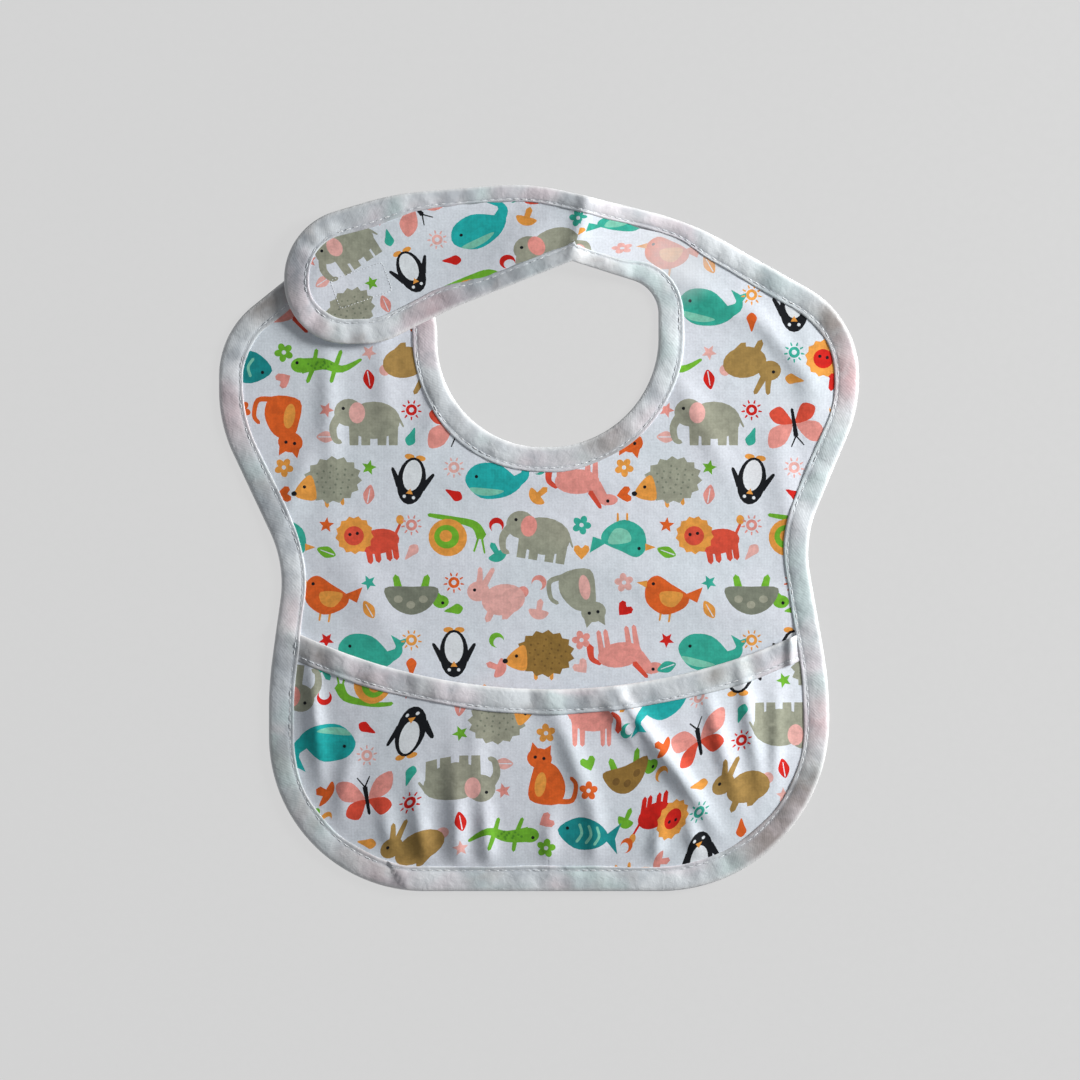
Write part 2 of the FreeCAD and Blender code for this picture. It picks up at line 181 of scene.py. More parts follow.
# ---------------------------------------------------------------- heights
def ease(t):
    t = np.clip(t, 0, 1)
    return t * t * (3 - 2 * t)


def folds(table, x, y):
    """Soft folds in the cloth: x, y, direction, half length, half width and height of each."""
    total = np.zeros(np.shape(x))
    for fold_x, fold_y, turn, long, wide, high in table:
        c, s = math.cos(math.radians(turn)), math.sin(math.radians(turn))
        u = (x - fold_x) * c + (y - fold_y) * s
        v = (y - fold_y) * c - (x - fold_x) * s
        total += high * np.exp(-((u / long) ** 2) - (v / wide) ** 2)
    return total


BODY_FOLDS = [
    (-84, 50, 92, 26, 4.4, 1.3),
    (-97, 20, 70, 24, 5, 1.0),
    (-62, 62, 96, 22, 5, 0.9),
    (-40, 52, 70, 20, 5, 0.9),
    (2, 24, 0, 42, 6, 0.8),
    (64, 48, 118, 26, 5, 1.0),
    (98, 20, 100, 30, 6, 0.9),
    (70, 96, 150, 24, 6, 1.2),
    (96, 78, 128, 20, 4, 1.1),
    (108, 62, 95, 20, 6, 1.0),
    (-20, -12, 15, 50, 12, 0.8),
    (60, -22, 165, 44, 10, 0.8),
    (-70, -22, 120, 30, 8, 0.8),
]
STRAP_FOLDS = [
    (-6, 117, 22, 26, 8, 2.2),
    (-88, 104, 60, 16, 7, 0.7),
    (-60, 120, 25, 24, 6, 0.6),
]
POCKET_FOLDS = [
    (-90, -71, 95, 26, 3.6, 2.4),
    (-78, -100, 78, 22, 4, 1.2),
    (-60, -120, 100, 16, 3.4, 1.2),
    (-47, -120, 97, 20, 3.6, 2.0),
    (-33, -116, 92, 26, 3.8, 2.2),
    (-21, -120, 95, 20, 3.4, 1.9),
    (-26, -84, 84, 24, 5, 1.0),
    (4, -122, 88, 12, 3.4, 1.2),
    (14, -88, 110, 24, 4.2, 1.8),
    (22, -120, 90, 14, 3.6, 1.2),
    (32, -72, 124, 14, 3.0, 1.8),
    (43, -78, 124, 24, 3.2, 2.6),
    (58, -96, 122, 22, 3.4, 2.0),
    (47, -124, 84, 13, 3, 1.6),
    (62, -122, 104, 12, 3, 1.5),
    (72, -80, 106, 24, 3.6, 1.9),
    (84, -72, 100, 26, 3.4, 2.0),
    (95, -84, 90, 22, 3.2, 1.5),
]
TAPE_DENTS = [  # small pinches in the mouth's tape
    (36, -62.6), (44, -62.6), (71, -50), (-63, -56), (-52, -59), (-3, -64), (-80, -49), (92, -44),
]
POCKET_BULGE = 5.6
POCKET_HALF_WIDTH, POCKET_DEPTH, POCKET_CROWN_Y = 103.5, 92.0, -42.0


def from_crease(x, y):
    """Distance from the crease, and place along it; the body is on the positive side."""
    dx, dy = x - CREASE[0], y - CREASE[1]
    return dx * ACROSS_CREASE[0] + dy * ACROSS_CREASE[1], dx * ALONG_CREASE[0] + dy * ALONG_CREASE[1]


RIDGE_HIGH, RIDGE_WIDE = 0.9, 3.2  # the crease's sharp crest, on the broader rise


def strap_rise(s):
    """How far the root and the strap stand off the table, s from the crease."""
    crest = CREASE_RISE - RIDGE_HIGH
    climb = crest * np.clip(1 - s / CLIMB_LENGTH, 0, 1) ** 1.7
    drop = TAB_RISE + (crest - TAB_RISE) * np.clip(1 + s / DROP_LENGTH, 0, 1) ** 2
    return np.where(s > 0, climb, drop) + RIDGE_HIGH * np.exp(-((s / RIDGE_WIDE) ** 2))


def soft_rise(s):
    """The same, with the crease's ridge rounded."""
    spread = (-1.6, -0.8, 0.0, 0.8, 1.6)
    return sum(strap_rise(s + offset) for offset in spread) / len(spread)


def body_height(x, y):
    s, t = from_crease(x, y)
    rise = np.where((t > -32) & (s > -20), soft_rise(s), 0)
    return CLOTH_TOP + rise + folds(BODY_FOLDS, x, y)


def strap_height(x, y):
    s, _ = from_crease(x, y)
    root = ease((s + 20) / 20)
    return CLOTH_TOP + soft_rise(s) + folds(STRAP_FOLDS, x, y) * (1 - root) + folds(BODY_FOLDS, x, y) * root


def pouch(x, y):
    """The pocket's bulge, from 0 at its sewn edges to 1."""
    across = np.abs(x - MOUTH_X) / POCKET_HALF_WIDTH
    down = np.abs(y - POCKET_CROWN_Y) / POCKET_DEPTH
    out = (across**3.5 + down**3.5) ** (1 / 3.5)
    return np.clip(1 - out**3, 0, 1)


def mouth_ripple(x, y):
    """The mouth's hem ripples, and is pinched here and there."""
    near = np.exp(-(((mouth_y(np.clip(x, -110, 118)) - y) / 14) ** 2)) * ease((100 - np.abs(x)) / 12)
    pinches = sum(0.6 * np.exp(-((x - dx) ** 2 + (y - dy) ** 2) / 6) for dx, dy in TAPE_DENTS)
    return (0.42 * np.sin(x / 3.6 + 1.5 * np.sin(x / 11.7)) - pinches) * near


def pocket_height(x, y):
    slack = pouch(x, y)
    gathers = folds(POCKET_FOLDS, x, y) * ease(slack * 3.2)
    return CLOTH_TOP + LAMINATE + 0.1 + POCKET_BULGE * slack**1.2 + gathers + mouth_ripple(x, y)


# ---------------------------------------------------------------- the print: inks and shapes
def srgb(red, green, blue):
    """A colour as the eye names it, 0 to 255, in linear light."""
    values = [c / 255 for c in (red, green, blue)]
    return tuple(c / 12.92 if c <= 0.04045 else ((c + 0.055) / 1.055) ** 2.4 for c in values)


INKS = {
    "cloth": srgb(238, 240, 245),
    "white": srgb(247, 247, 248),
    "stone": srgb(168, 167, 146),
    "slate": srgb(132, 136, 118),
    "rose": srgb(247, 158, 146),
    "blush": srgb(250, 186, 176),
    "coral": srgb(236, 84, 60),
    "red": srgb(226, 30, 20),
    "orange": srgb(240, 104, 36),
    "honey": srgb(250, 166, 72),
    "leaf": srgb(120, 190, 48),
    "moss": srgb(92, 156, 44),
    "teal": srgb(56, 182, 158),
    "deep": srgb(20, 148, 148),
    "sea": srgb(30, 182, 178),
    "mint": srgb(138, 214, 186),
    "navy": srgb(12, 15, 22),
    "sand": srgb(180, 142, 78),
    "bark": srgb(158, 120, 56),
    "umber": srgb(128, 94, 44),
}


UNDYED = ("cloth", "white")


def oval(ink, x, y, half_x, half_y, turn=0.0):
    count = 10 if max(half_x, half_y) < 1.2 else 20
    c, s = math.cos(math.radians(turn)), math.sin(math.radians(turn))
    points = []
    for k in range(count):
        a = math.tau * k / count
        u, v = half_x * math.cos(a), half_y * math.sin(a)
        points.append((x + u * c - v * s, y + u * s + v * c))
    return ink, points


def shape(ink, *points):
    return ink, list(points)


def curve_through(points, closed, parts=4):
    """A smooth line through the points."""
    count = len(points)
    spans = count if closed else count - 1
    line = []
    for i in range(spans):
        if closed:
            p = [np.array(points[(i + k) % count], float) for k in (-1, 0, 1, 2)]
        else:
            p = [np.array(points[min(max(i + k, 0), count - 1)], float) for k in (-1, 0, 1, 2)]
        for k in range(parts):
            u = k / parts
            bend = 2 * p[0] - 5 * p[1] + 4 * p[2] - p[3]
            twist = 3 * p[1] - p[0] - 3 * p[2] + p[3]
            line.append(0.5 * (2 * p[1] + (p[2] - p[0]) * u + bend * u**2 + twist * u**3))
    if not closed:
        line.append(np.array(points[-1], float))
    return line


def blob(ink, *points):
    return ink, [tuple(p) for p in curve_through(points, True)]


def limb(ink, wide, narrow, *points):
    """A stroke that tapers from wide to narrow along a smooth line."""
    line = np.array(curve_through(points, False))
    normals = inward(line)
    half = np.linspace(wide, narrow, len(line))[:, None] / 2
    tip = line[-1] + (line[-1] - line[-2]) / np.linalg.norm(line[-1] - line[-2]) * narrow / 2
    tail = line[0] - (line[1] - line[0]) / np.linalg.norm(line[1] - line[0]) * wide / 3
    return ink, [tuple(p) for p in [tail, *(line + normals * half), tip, *(line - normals * half)[::-1]]]


def eye(x, y, ink="navy"):
    return oval(ink, x, y, 0.55, 0.55)


def spiky(ink, x, y, half_x, half_y, count, depth):
    points = []
    for k in range(2 * count):
        a = math.pi * k / count
        out = 1 + (depth if k % 2 else 0)
        points.append((x + half_x * out * math.cos(a), y + half_y * out * math.sin(a)))
    return ink, points


def speckles(ink, spots, size=0.35):
    return [oval(ink, x, y, size, size) for x, y in spots]


def scatter(x, y, half_x, half_y, count):
    """Evenly spread places in an oval, by the golden angle."""
    places = []
    for k in range(count):
        out, a = math.sqrt((k + 0.5) / count), k * 2.39996
        places.append((x + half_x * out * math.cos(a), y + half_y * out * math.sin(a)))
    return places


# ---------------------------------------------------------------- the print: plain animals, facing left
def elephant(ink, accent):
    return [
        *[
            shape(ink, (x - 1.6, 0), (x - 1.4, -7), (x + 1.4, -7), (x + 1.6, 0))
            for x in (-4.8, -1.0, 4.2, 7.8)
        ],
        limb(ink, 0.9, 0.6, (9.4, 2), (11, -1)),
        oval(ink, 1.5, 1, 8.5, 6),
        oval(ink, -6.5, 3.5, 4.6, 4.4),
        limb(ink, 3.0, 1.4, (-9, 3), (-11.4, -1), (-10.8, -5), (-9.2, -6)),
        oval(accent, -3.8, 3.4, 2.6, 3.4),
        eye(-8.2, 4.8),
    ]


def cat(ink, accent):
    return [
        limb(ink, 1.8, 1.2, (5, -7), (9.4, -6), (9.8, -1), (8, 1)),
        blob(ink, (-4, -8), (5, -8), (6.6, -2), (2.6, 4), (-3, 4.6), (-4.6, 0)),
        oval(accent, -1.4, -2.6, 1.8, 4.0),
        shape(ink, (-6.4, 6.4), (-6.0, 10.4), (-3.4, 8.2)),
        shape(ink, (-2.6, 8.2), (0, 10.4), (0.4, 6.4)),
        oval(ink, -3, 5.6, 4, 3.3),
        eye(-4.4, 5.8),
        eye(-1.6, 5.8),
    ]


def rabbit(ink, accent):
    return [
        oval(accent, 8.6, 0, 1.8, 1.8),
        limb(ink, 2.4, 2.0, (-2, -4), (-4, -7)),
        limb(ink, 3.0, 2.2, (5, -4), (1.5, -7)),
        oval(ink, 2, -1.5, 7, 5),
        limb(ink, 2.2, 1.4, (-5, 4), (-4.2, 7), (-3.8, 9.4)),
        limb(ink, 2.2, 1.4, (-3.4, 4), (-1.4, 6.6), (0.2, 8.6)),
        oval(ink, -5.5, 2.4, 3.6, 3.2),
        eye(-6.6, 3.0),
    ]


def bird(ink, accent):
    return [
        *[limb("honey", 0.8, 0.6, (x, -5), (x, -8)) for x in (-1, 2)],
        shape(ink, (5, 1), (11, 4.6), (10, -0.6)),
        blob(ink, (-7, 3), (-4, 6), (1, 4), (7, 1), (6, -3), (0, -6), (-6, -3)),
        blob(accent, (-2, 1), (5, 1.6), (3, -3), (-1, -2.6)),
        shape("honey", (-6.8, 4), (-10.2, 2.8), (-6.8, 1.6)),
        eye(-4.8, 3.2),
    ]


def fish(ink, accent):
    return [
        shape(ink, (5, 0), (11, 5), (9.4, 0), (11, -5)),
        blob(ink, (-10, 0), (-4, 5), (3, 4), (7, 0), (3, -4), (-4, -5)),
        *[limb(accent, 0.9, 0.9, (x, 2.8), (x + 1.2, 0), (x, -2.8)) for x in (-3.4, -0.4, 2.4)],
        eye(-7, 1.0),
    ]


def turtle(ink, accent):
    return [
        *[limb("leaf", 2.6, 2.0, (x, -2), (1.25 * x, -6)) for x in (-4, 4)],
        limb("leaf", 3.0, 2.6, (-6.6, -1), (-9, 1)),
        oval("leaf", -9.4, 1.8, 2.6, 2.1),
        blob(ink, (-8.5, -2.5), (-6, 3.4), (0, 6), (6, 3.4), (8.5, -2.5), (0, -3)),
        *[oval(accent, x, y, 1.4, 1.2) for x, y in ((-3.8, 1.0), (0.2, 2.8), (4.2, 1.0))],
        eye(-10.0, 2.2),
    ]


def whale(ink, accent):
    return [
        limb(ink, 4.4, 1.8, (5, -1), (8.8, 1.6), (9.2, 4)),
        shape(ink, (8.6, 3), (6, 7), (9.2, 5.8), (12, 7.2), (9.8, 3)),
        blob(ink, (-10, 0), (-7, 5), (0, 5.6), (6, 1.4), (8, -1.4), (3, -5), (-5, -5.4)),
        blob(accent, (-8.6, -2.2), (-3, -2.4), (2.4, -3.2), (-1, -4.6), (-6, -4.4)),
        eye(-6.4, 1.4),
    ]


def butterfly(ink, accent):
    wings = []
    for side in (-1, 1):
        upper = [(0.6, 0.6), (4, 6), (9, 6.4), (8, 1), (3, -0.4)]
        lower = [(0.6, 0), (5.6, -0.8), (7.4, -4.4), (3.6, -6), (1, -2)]
        wings.append(blob(ink, *[(x * side, y) for x, y in upper]))
        wings.append(blob(accent, *[(x * side, y) for x, y in lower]))
        wings.append(limb("navy", 0.5, 0.4, (0, 4), (2 * side, 7.2)))
    return [*wings, limb("navy", 1.6, 0.9, (0, 4), (0, 0), (0, -4.6))]


def hedgehog(ink, accent):
    return [
        *[limb("honey", 1.4, 1.2, (x, -5.6), (x, -8)) for x in (-1, 4)],
        spiky(ink, 2, 0, 8.2, 6.6, 15, 0.16),
        *speckles(accent, scatter(2.5, 0, 6.4, 5, 24)),
        blob("honey", (-4, -5), (-4.4, 2.4), (-8, 1), (-10.8, -2.6), (-8, -4.8)),
        oval("navy", -10.8, -2.4, 0.9, 0.8),
        eye(-7.2, -0.8),
    ]


def snail(ink, accent):
    return [
        *[limb(ink, 0.7, 0.6, (x, -1), (x + lean, 3)) for x, lean in ((-9, -1.4), (-7.6, 0.6))],
        limb(ink, 3.4, 1.2, (-8.6, -2), (-6, -5.2), (0, -6), (9, -6.2)),
        oval(accent, 2, 0, 6.2, 6),
        oval(ink, 2.4, -0.2, 4.0, 3.8),
        oval(accent, 2.7, -0.4, 2.0, 1.9),
    ]


def pony(ink, accent):
    return [
        *[limb(ink, 2.0, 1.4, (x, -1), (x, -8)) for x in (-4.4, -2.0, 4.8, 7.0)],
        limb(accent, 1.2, 2.4, (8, 2), (10.4, 0), (10.4, -3.6)),
        oval(ink, 1.4, 0.2, 7.2, 4),
        limb(ink, 4.4, 3.0, (-4.2, 1.4), (-6.4, 5), (-7.2, 6.6)),
        oval(ink, -8.6, 6.0, 3, 1.8),
        limb(accent, 1.8, 1.2, (-2.8, 3.6), (-4.4, 6), (-6.0, 8.4)),
        eye(-8.4, 6.4),
    ]


def lion(ink, accent):
    return [
        *[limb(ink, 2.2, 1.8, (x, -3), (x, -7.4)) for x in (-0.6, 2.0, 5.6, 7.8)],
        limb(ink, 1.0, 0.8, (8.6, 0), (10.8, 3.4)),
        oval(accent, 10.8, 4.4, 1.3, 1.5),
        oval(ink, 3, -1.4, 6.6, 4),
        spiky(accent, -4.4, 1.8, 5.4, 5.4, 13, 0.14),
        oval(ink, -4.6, 1.6, 3.2, 3.1),
        eye(-5.8, 2.2),
        eye(-3.4, 2.2),
    ]


def lizard(ink, accent):
    feet = ((-4, -2, -5), (-4, 0.8, 5), (3, -1.4, -5), (3, 1.6, 4.6))
    return [
        *[limb(ink, 1.6, 1.2, (x, 0), (x + lean, y)) for x, lean, y in feet],
        limb(ink, 5.0, 0.9, (-8, 0), (-1, 0.6), (5, -1), (11, 2)),
        oval(ink, -8.4, 0.2, 3.0, 2.4),
        *speckles(accent, scatter(-2, 0.2, 4.6, 1.3, 12), 0.4),
        eye(-9.4, 1.0),
    ]


def penguin(ink, accent):
    return [
        *[oval(accent, x, -7.6, 1.6, 0.9) for x in (-1.8, 1.8)],
        *[limb(ink, 2.2, 1.0, (3.6 * side, 2), (6.6 * side, -3)) for side in (-1, 1)],
        oval(ink, 0, 0, 4.6, 7.6),
        oval("white", 0, -1.8, 3.0, 5.0),
        shape(accent, (-1.1, 4.2), (1.1, 4.2), (0, 2.4)),
        eye(-1.5, 5.2, "white"),
        eye(1.5, 5.2, "white"),
    ]


# ---------------------------------------------------------------- the print: small shapes
def heart(ink, size):
    k = size / 6
    left = [(-2.0, -1.0), (-3.2, 0.8), (-2.8, 2.4), (-1.4, 2.8), (-0.2, 1.6)]
    right = [(-x, y) for x, y in reversed(left)]
    return [shape(ink, *[(x * k, y * k) for x, y in ((0, -3), *left, *right)])]


def star(ink, size):
    return [spiky(ink, 0, 0, size * 0.24, size * 0.24, 5, 1.2)]


def sun(ink, size):
    """A small ring in a circle of rays."""
    half = size / 2
    rays = []
    for k in range(9):
        c, d = math.cos(math.tau * k / 9), math.sin(math.tau * k / 9)
        ends = (half * 0.72 * c, half * 0.72 * d), (half * c, half * d)
        rays.append(limb(ink, size * 0.10, size * 0.06, *ends))
    return [*rays, oval(ink, 0, 0, half * 0.56, half * 0.56), oval("cloth", 0, 0, half * 0.26, half * 0.26)]


def drop(ink, size):
    k = size / 10
    points = [(0, 5), (-1.6, 1), (-2.6, -2.2), (0, -4.6), (2.6, -2.2), (1.6, 1)]
    return [blob(ink, *[(x * k, y * k) for x, y in points])]


def flower(ink, size):
    half = size / 2
    petals = []
    for k in range(5):
        a = math.tau * k / 5 + 0.3
        x, y = half * 0.55 * math.cos(a), half * 0.55 * math.sin(a)
        petals.append(oval(ink, x, y, half * 0.42, half * 0.34, math.degrees(a)))
    return [*petals, oval("cloth", 0, 0, half * 0.22, half * 0.22)]


def mushroom(ink, size):
    k = size / 10
    cap = [(-5, 0.6), (-3.4, 3.8), (0, 5), (3.4, 3.8), (5, 0.6), (0, 0)]
    stem = limb(ink, 2.6 * k, 3.2 * k, (0, k), (0, -4 * k))
    return [stem, blob(ink, *[(x * k, y * k) for x, y in cap])]


def leaf(ink, size):
    half = size / 2
    edge = [(0, -1), (-0.56, -0.2), (-0.4, 0.5), (0, 1), (0.4, 0.5), (0.56, -0.2)]
    vein = limb("cloth", 0.5, 0.3, (0, -half * 0.8), (0, half * 0.6))
    return [blob(ink, *[(x * half, y * half) for x, y in edge]), vein]


def crescent(ink, size):
    half = size / 2
    return [oval(ink, 0, 0, half, half), oval("cloth", half * 0.42, half * 0.1, half * 0.68, half * 0.72)]


# ---------------------------------------------------------------- the print: how it repeats
ANIMAL_SCALE = 1.25
ANIMAL_TILT = 9.0
CELL_WIDE, CELL_TALL = 34.0, 23.0
SMALL_RISE = 5.4  # small shapes fill the gaps in a row, in pairs, above and below its middle
ANIMAL_ROWS = [  # each row is set half a cell on from the one below it
    [
        (elephant, "stone", "rose"), (bird, "teal", "mint"),
        (lion, "coral", "honey"), (snail, "leaf", "honey"),
    ],
    [
        (pony, "rose", "coral"), (hedgehog, "stone", "slate"),
        (penguin, "navy", "honey"), (whale, "sea", "mint"),
    ],
    [
        (turtle, "bark", "umber"), (cat, "orange", "honey"),
        (elephant, "stone", "blush"), (butterfly, "rose", "coral"),
    ],
    [
        (fish, "deep", "mint"), (lizard, "leaf", "moss"),
        (rabbit, "sand", "blush"), (lion, "red", "honey"),
    ],
    [
        (hedgehog, "bark", "umber"), (pony, "rose", "coral"),
        (whale, "teal", "mint"), (penguin, "navy", "honey"),
    ],
    [
        (cat, "stone", "blush"), (bird, "orange", "honey"),
        (turtle, "slate", "stone"), (rabbit, "blush", "rose"),
    ],
]
REPEAT_RIGHT, REPEAT_UP = CELL_WIDE * len(ANIMAL_ROWS[0]), CELL_TALL * len(ANIMAL_ROWS)
SMALL_INKS = ("honey", "rose", "teal", "leaf", "red", "orange", "blush")
SMALL_KINDS = (
    (heart, 6), (flower, 8), (leaf, 8), (star, 6),
    (drop, 8), (sun, 8), (mushroom, 8), (crescent, 6),
)
STRAP_PRINT_TURN, STRAP_PRINT_SIZE = 33.7, 0.92
STRAP_PRINT_FROM = np.array([-48.9, 24.1])
STRAP_PRINT_TO = np.array([-50.0, 108.4])
POCKET_PRINT_SHIFT = np.array([-99.2, -49.2])


def print_on_body(points):
    """The print as it lies, drawn down on the strap's root, where the cloth climbs."""
    x, y = points.T
    near_root = ease((x + 20) / 30)
    down = 0.45 * np.clip(y - 110, 0, None) * ease((62 - x) / 32) * near_root
    left = 1.6 * ease((y - 105) / 15) * ease((44 - x) / 20) * near_root
    return np.stack([x - left, y - down], axis=1)


def print_on_strap(points):
    """The print askew on the strap, and drawn out towards the crease."""
    a = math.radians(STRAP_PRINT_TURN)
    turn = np.array([[math.cos(a), math.sin(a)], [-math.sin(a), math.cos(a)]])
    x, y = ((points - STRAP_PRINT_FROM) * STRAP_PRINT_SIZE @ turn + STRAP_PRINT_TO).T
    return np.stack([x + 5.6 * ease((x + 45) / 50), y], axis=1)


def print_on_pocket(points):
    """The print the other way up, drawn askew by the gathers at the pocket's two sides."""
    x, y = (POCKET_PRINT_SHIFT - points).T
    corner = 9 * ease((-75 - x) / 18) * ease((-70 - y) / 25)
    up = 21 * ease((x - 28) / 68) - 9 * ease((-30 - x) / 35) - corner
    left = 7 * ease((x - 18) / 56) + 3.5 * ease((-30 - x) / 20)
    return np.stack([x - left, y + up], axis=1)


def one_tile():
    """Every shape of the print's tile, as (ink, points)."""
    placed = []
    for row, animals in enumerate(ANIMAL_ROWS):
        for column, (make, ink, accent) in enumerate(animals):
            x, y = (column + row % 2 / 2) * CELL_WIDE, row * CELL_TALL
            count = row * len(animals) + column
            turn = 180 * ((row + column) % 2) + ANIMAL_TILT * (count % 3 - 1)
            placed.append((make(ink, accent), x, y, turn, ANIMAL_SCALE))
            for side in (0, 1):
                kind, size = SMALL_KINDS[(2 * count + side) % len(SMALL_KINDS)]
                small = kind(SMALL_INKS[(3 * count + 2 * side) % len(SMALL_INKS)], size)
                rise = SMALL_RISE * (2 * side - 1)
                placed.append((small, x + CELL_WIDE / 2, y + rise, 70 * count + 50 * side, 1.0))
    shapes = []
    for items, x, y, turn, size in placed:
        a = math.radians(turn)
        rotate = np.array([[math.cos(a), math.sin(a)], [-math.sin(a), math.cos(a)]])
        for ink, points in items:
            shapes.append((ink, np.array(points) * size @ rotate + (x, y)))
    return shapes


TILE = one_tile()


def print_shapes(lay, low, high):
    """The print's shapes that fall in a box, laid by a function that places the tiles."""
    found = []
    for i in range(-3, 4):
        for j in range(-3, 4):
            shift = (i * REPEAT_RIGHT, j * REPEAT_UP)
            for ink, points in TILE:
                laid = lay(points + shift)
                if (laid.max(axis=0) > low).all() and (laid.min(axis=0) < high).all():
                    found.append((ink, laid))
    return found


# ---------------------------------------------------------------- regions in plan
def crease_distance(points):
    return from_crease(points[:, 0], points[:, 1])[0]


def cut_at(path, distance):
    """A path parted where its distance from the crease first passes a value."""
    beyond = crease_distance(path) - distance
    k = np.flatnonzero(np.sign(beyond[:-1]) != np.sign(beyond[1:]))[0]
    share = beyond[k] / (beyond[k] - beyond[k + 1])
    joint = path[k] + (path[k + 1] - path[k]) * share
    return np.vstack([path[: k + 1], joint]), np.vstack([joint, path[k + 1 :]])


def clipped(points, place, normal):
    """The part of a polygon on a line's positive side."""
    kept = []
    for a, b in zip(points, np.roll(points, -1, axis=0)):
        side_a, side_b = (a - place) @ normal, (b - place) @ normal
        if side_a >= 0:
            kept.append(a)
        if side_a * side_b < 0:
            kept.append(a + (b - a) * side_a / (side_a - side_b))
    return np.array(kept)


def inset(path, distance):
    return path + inward(path) * distance


OUTLINE_STEP = 2.0
POCKET_SEWN_IN = 8.6  # how far the pocket's cloth stops short of the tape's fold
EDGE_CLEAR = 1.2  # how far the cloth stops short of the tape's fold
ROOT_SEAM = 22.0  # the pieces part here, on the bib's side of the crease
STRAP_SEAM = -30.0  # and here, on the strap's side

body_edge = inset(evenly(BODY_PATH, OUTLINE_STEP), EDGE_CLEAR)
strap_edge = inset(evenly(STRAP_PATH, OUTLINE_STEP), EDGE_CLEAR)
body_edge[0], body_edge[-1] = [np.array(p) for p in (CREASE_TOP, CREASE_LOW)]
strap_edge[0], strap_edge[-1] = body_edge[-1], body_edge[0]
body_edge[0] -= ALONG_CREASE[:2] * EDGE_CLEAR
body_edge[-1] += ALONG_CREASE[:2] * EDGE_CLEAR
strap_edge[0], strap_edge[-1] = body_edge[-1], body_edge[0]

root_top, body_rest = cut_at(body_edge, ROOT_SEAM)
BODY_REGION, root_low = [part[::-1] for part in cut_at(body_rest[::-1], ROOT_SEAM)][::-1]
strap_low, strap_rest = cut_at(strap_edge, STRAP_SEAM)
TAB_REGION, strap_top = [part[::-1] for part in cut_at(strap_rest[::-1], STRAP_SEAM)][::-1]


def seam_between(a, b):
    """Points along a straight seam, without its ends."""
    return evenly(np.array([a, b]), OUTLINE_STEP)[1:-1]


ROOT_REGION = np.vstack([
    root_low,
    strap_low[1:],
    seam_between(strap_low[-1], strap_top[0]),
    strap_top,
    root_top[1:],
    seam_between(root_top[-1], root_low[0]),
])
BODY_REGION = np.vstack([BODY_REGION, seam_between(BODY_REGION[-1], BODY_REGION[0])])
TAB_REGION = np.vstack([TAB_REGION, seam_between(TAB_REGION[-1], TAB_REGION[0])])


def pocket_region():
    side = inset(evenly(BODY_PATH, OUTLINE_STEP), POCKET_SEWN_IN)
    below = side[side[:, 1] < mouth_y(side[:, 0]) - 0.5]
    mouth_x = np.linspace(below[-1, 0], below[0, 0], 110)
    mouth = np.stack([mouth_x, mouth_y(mouth_x) - EDGE_CLEAR], axis=1)
    return np.vstack([below, mouth])


POCKET_REGION = pocket_region()


def inside(points, region):
    """Which points lie in a polygon."""
    x, y = points[:, 0][:, None], points[:, 1][:, None]
    (x0, y0), (x1, y1) = region.T, np.roll(region, -1, axis=0).T
    crosses = ((y0 > y) != (y1 > y)) & (x < (x1 - x0) * (y - y0) / np.where(y1 == y0, 1, y1 - y0) + x0)
    return crosses.sum(axis=1) % 2 == 1


def grid_in(region, step):
    """A triangular grid of points in a polygon."""
    low, high = region.min(axis=0), region.max(axis=0)
    rows = []
    for k, y in enumerate(np.arange(low[1], high[1], step * 0.866)):
        xs = np.arange(low[0] + step / 2 * (k % 2), high[0], step)
        rows.append(np.stack([xs, np.full(len(xs), y)], axis=1))
    points = np.vstack(rows)
    return points[inside(points, region)]


# ---------------------------------------------------------------- meshes
def make_piece(name, points, faces, slot, material, normals=None, band=None):
    """A mesh object from points in millimetres. Its plan and, on a tape, its band place the materials."""
    mesh = bpy.data.meshes.new(name)
    mesh.from_pydata((np.asarray(points) * MM).tolist(), [], faces)
    mesh.materials.append(material)
    mesh.shade_smooth()
    corners = np.empty(len(mesh.loops), dtype=np.int32)
    mesh.loops.foreach_get("vertex_index", corners)
    for layer_name, flat in (("plan", np.asarray(points)[:, :2]), ("band", band)):
        if flat is not None:
            layer = mesh.uv_layers.new(name=layer_name)
            layer.data.foreach_set("uv", (flat[corners] * MM).astype(np.float32).ravel())
    if normals is not None:
        mesh.normals_split_custom_set_from_vertices(normals.tolist())
    if band is not None:
        blots_and_shade = mesh.color_attributes.new("blots_and_shade", "FLOAT_COLOR", "POINT")
        blots_and_shade.data.foreach_set("color", stains_and_shade(np.asarray(points)).astype(np.float32).ravel())
    piece = bpy.data.objects.new(name, mesh)
    bpy.context.scene.collection.objects.link(piece)
    return piece


def slopes(height, x, y):
    """Unit normals of a height over the plan."""
    step = 0.4
    rise_x = (height(x + step, y) - height(x - step, y)) / (2 * step)
    rise_y = (height(x, y + step) - height(x, y - step)) / (2 * step)
    normals = np.stack([-rise_x, -rise_y, np.ones_like(x)], axis=1)
    return normals / np.linalg.norm(normals, axis=1)[:, None]


def signed_area(points):
    x, y = points.T
    return (np.dot(x, np.roll(y, -1)) - np.dot(y, np.roll(x, -1))) / 2


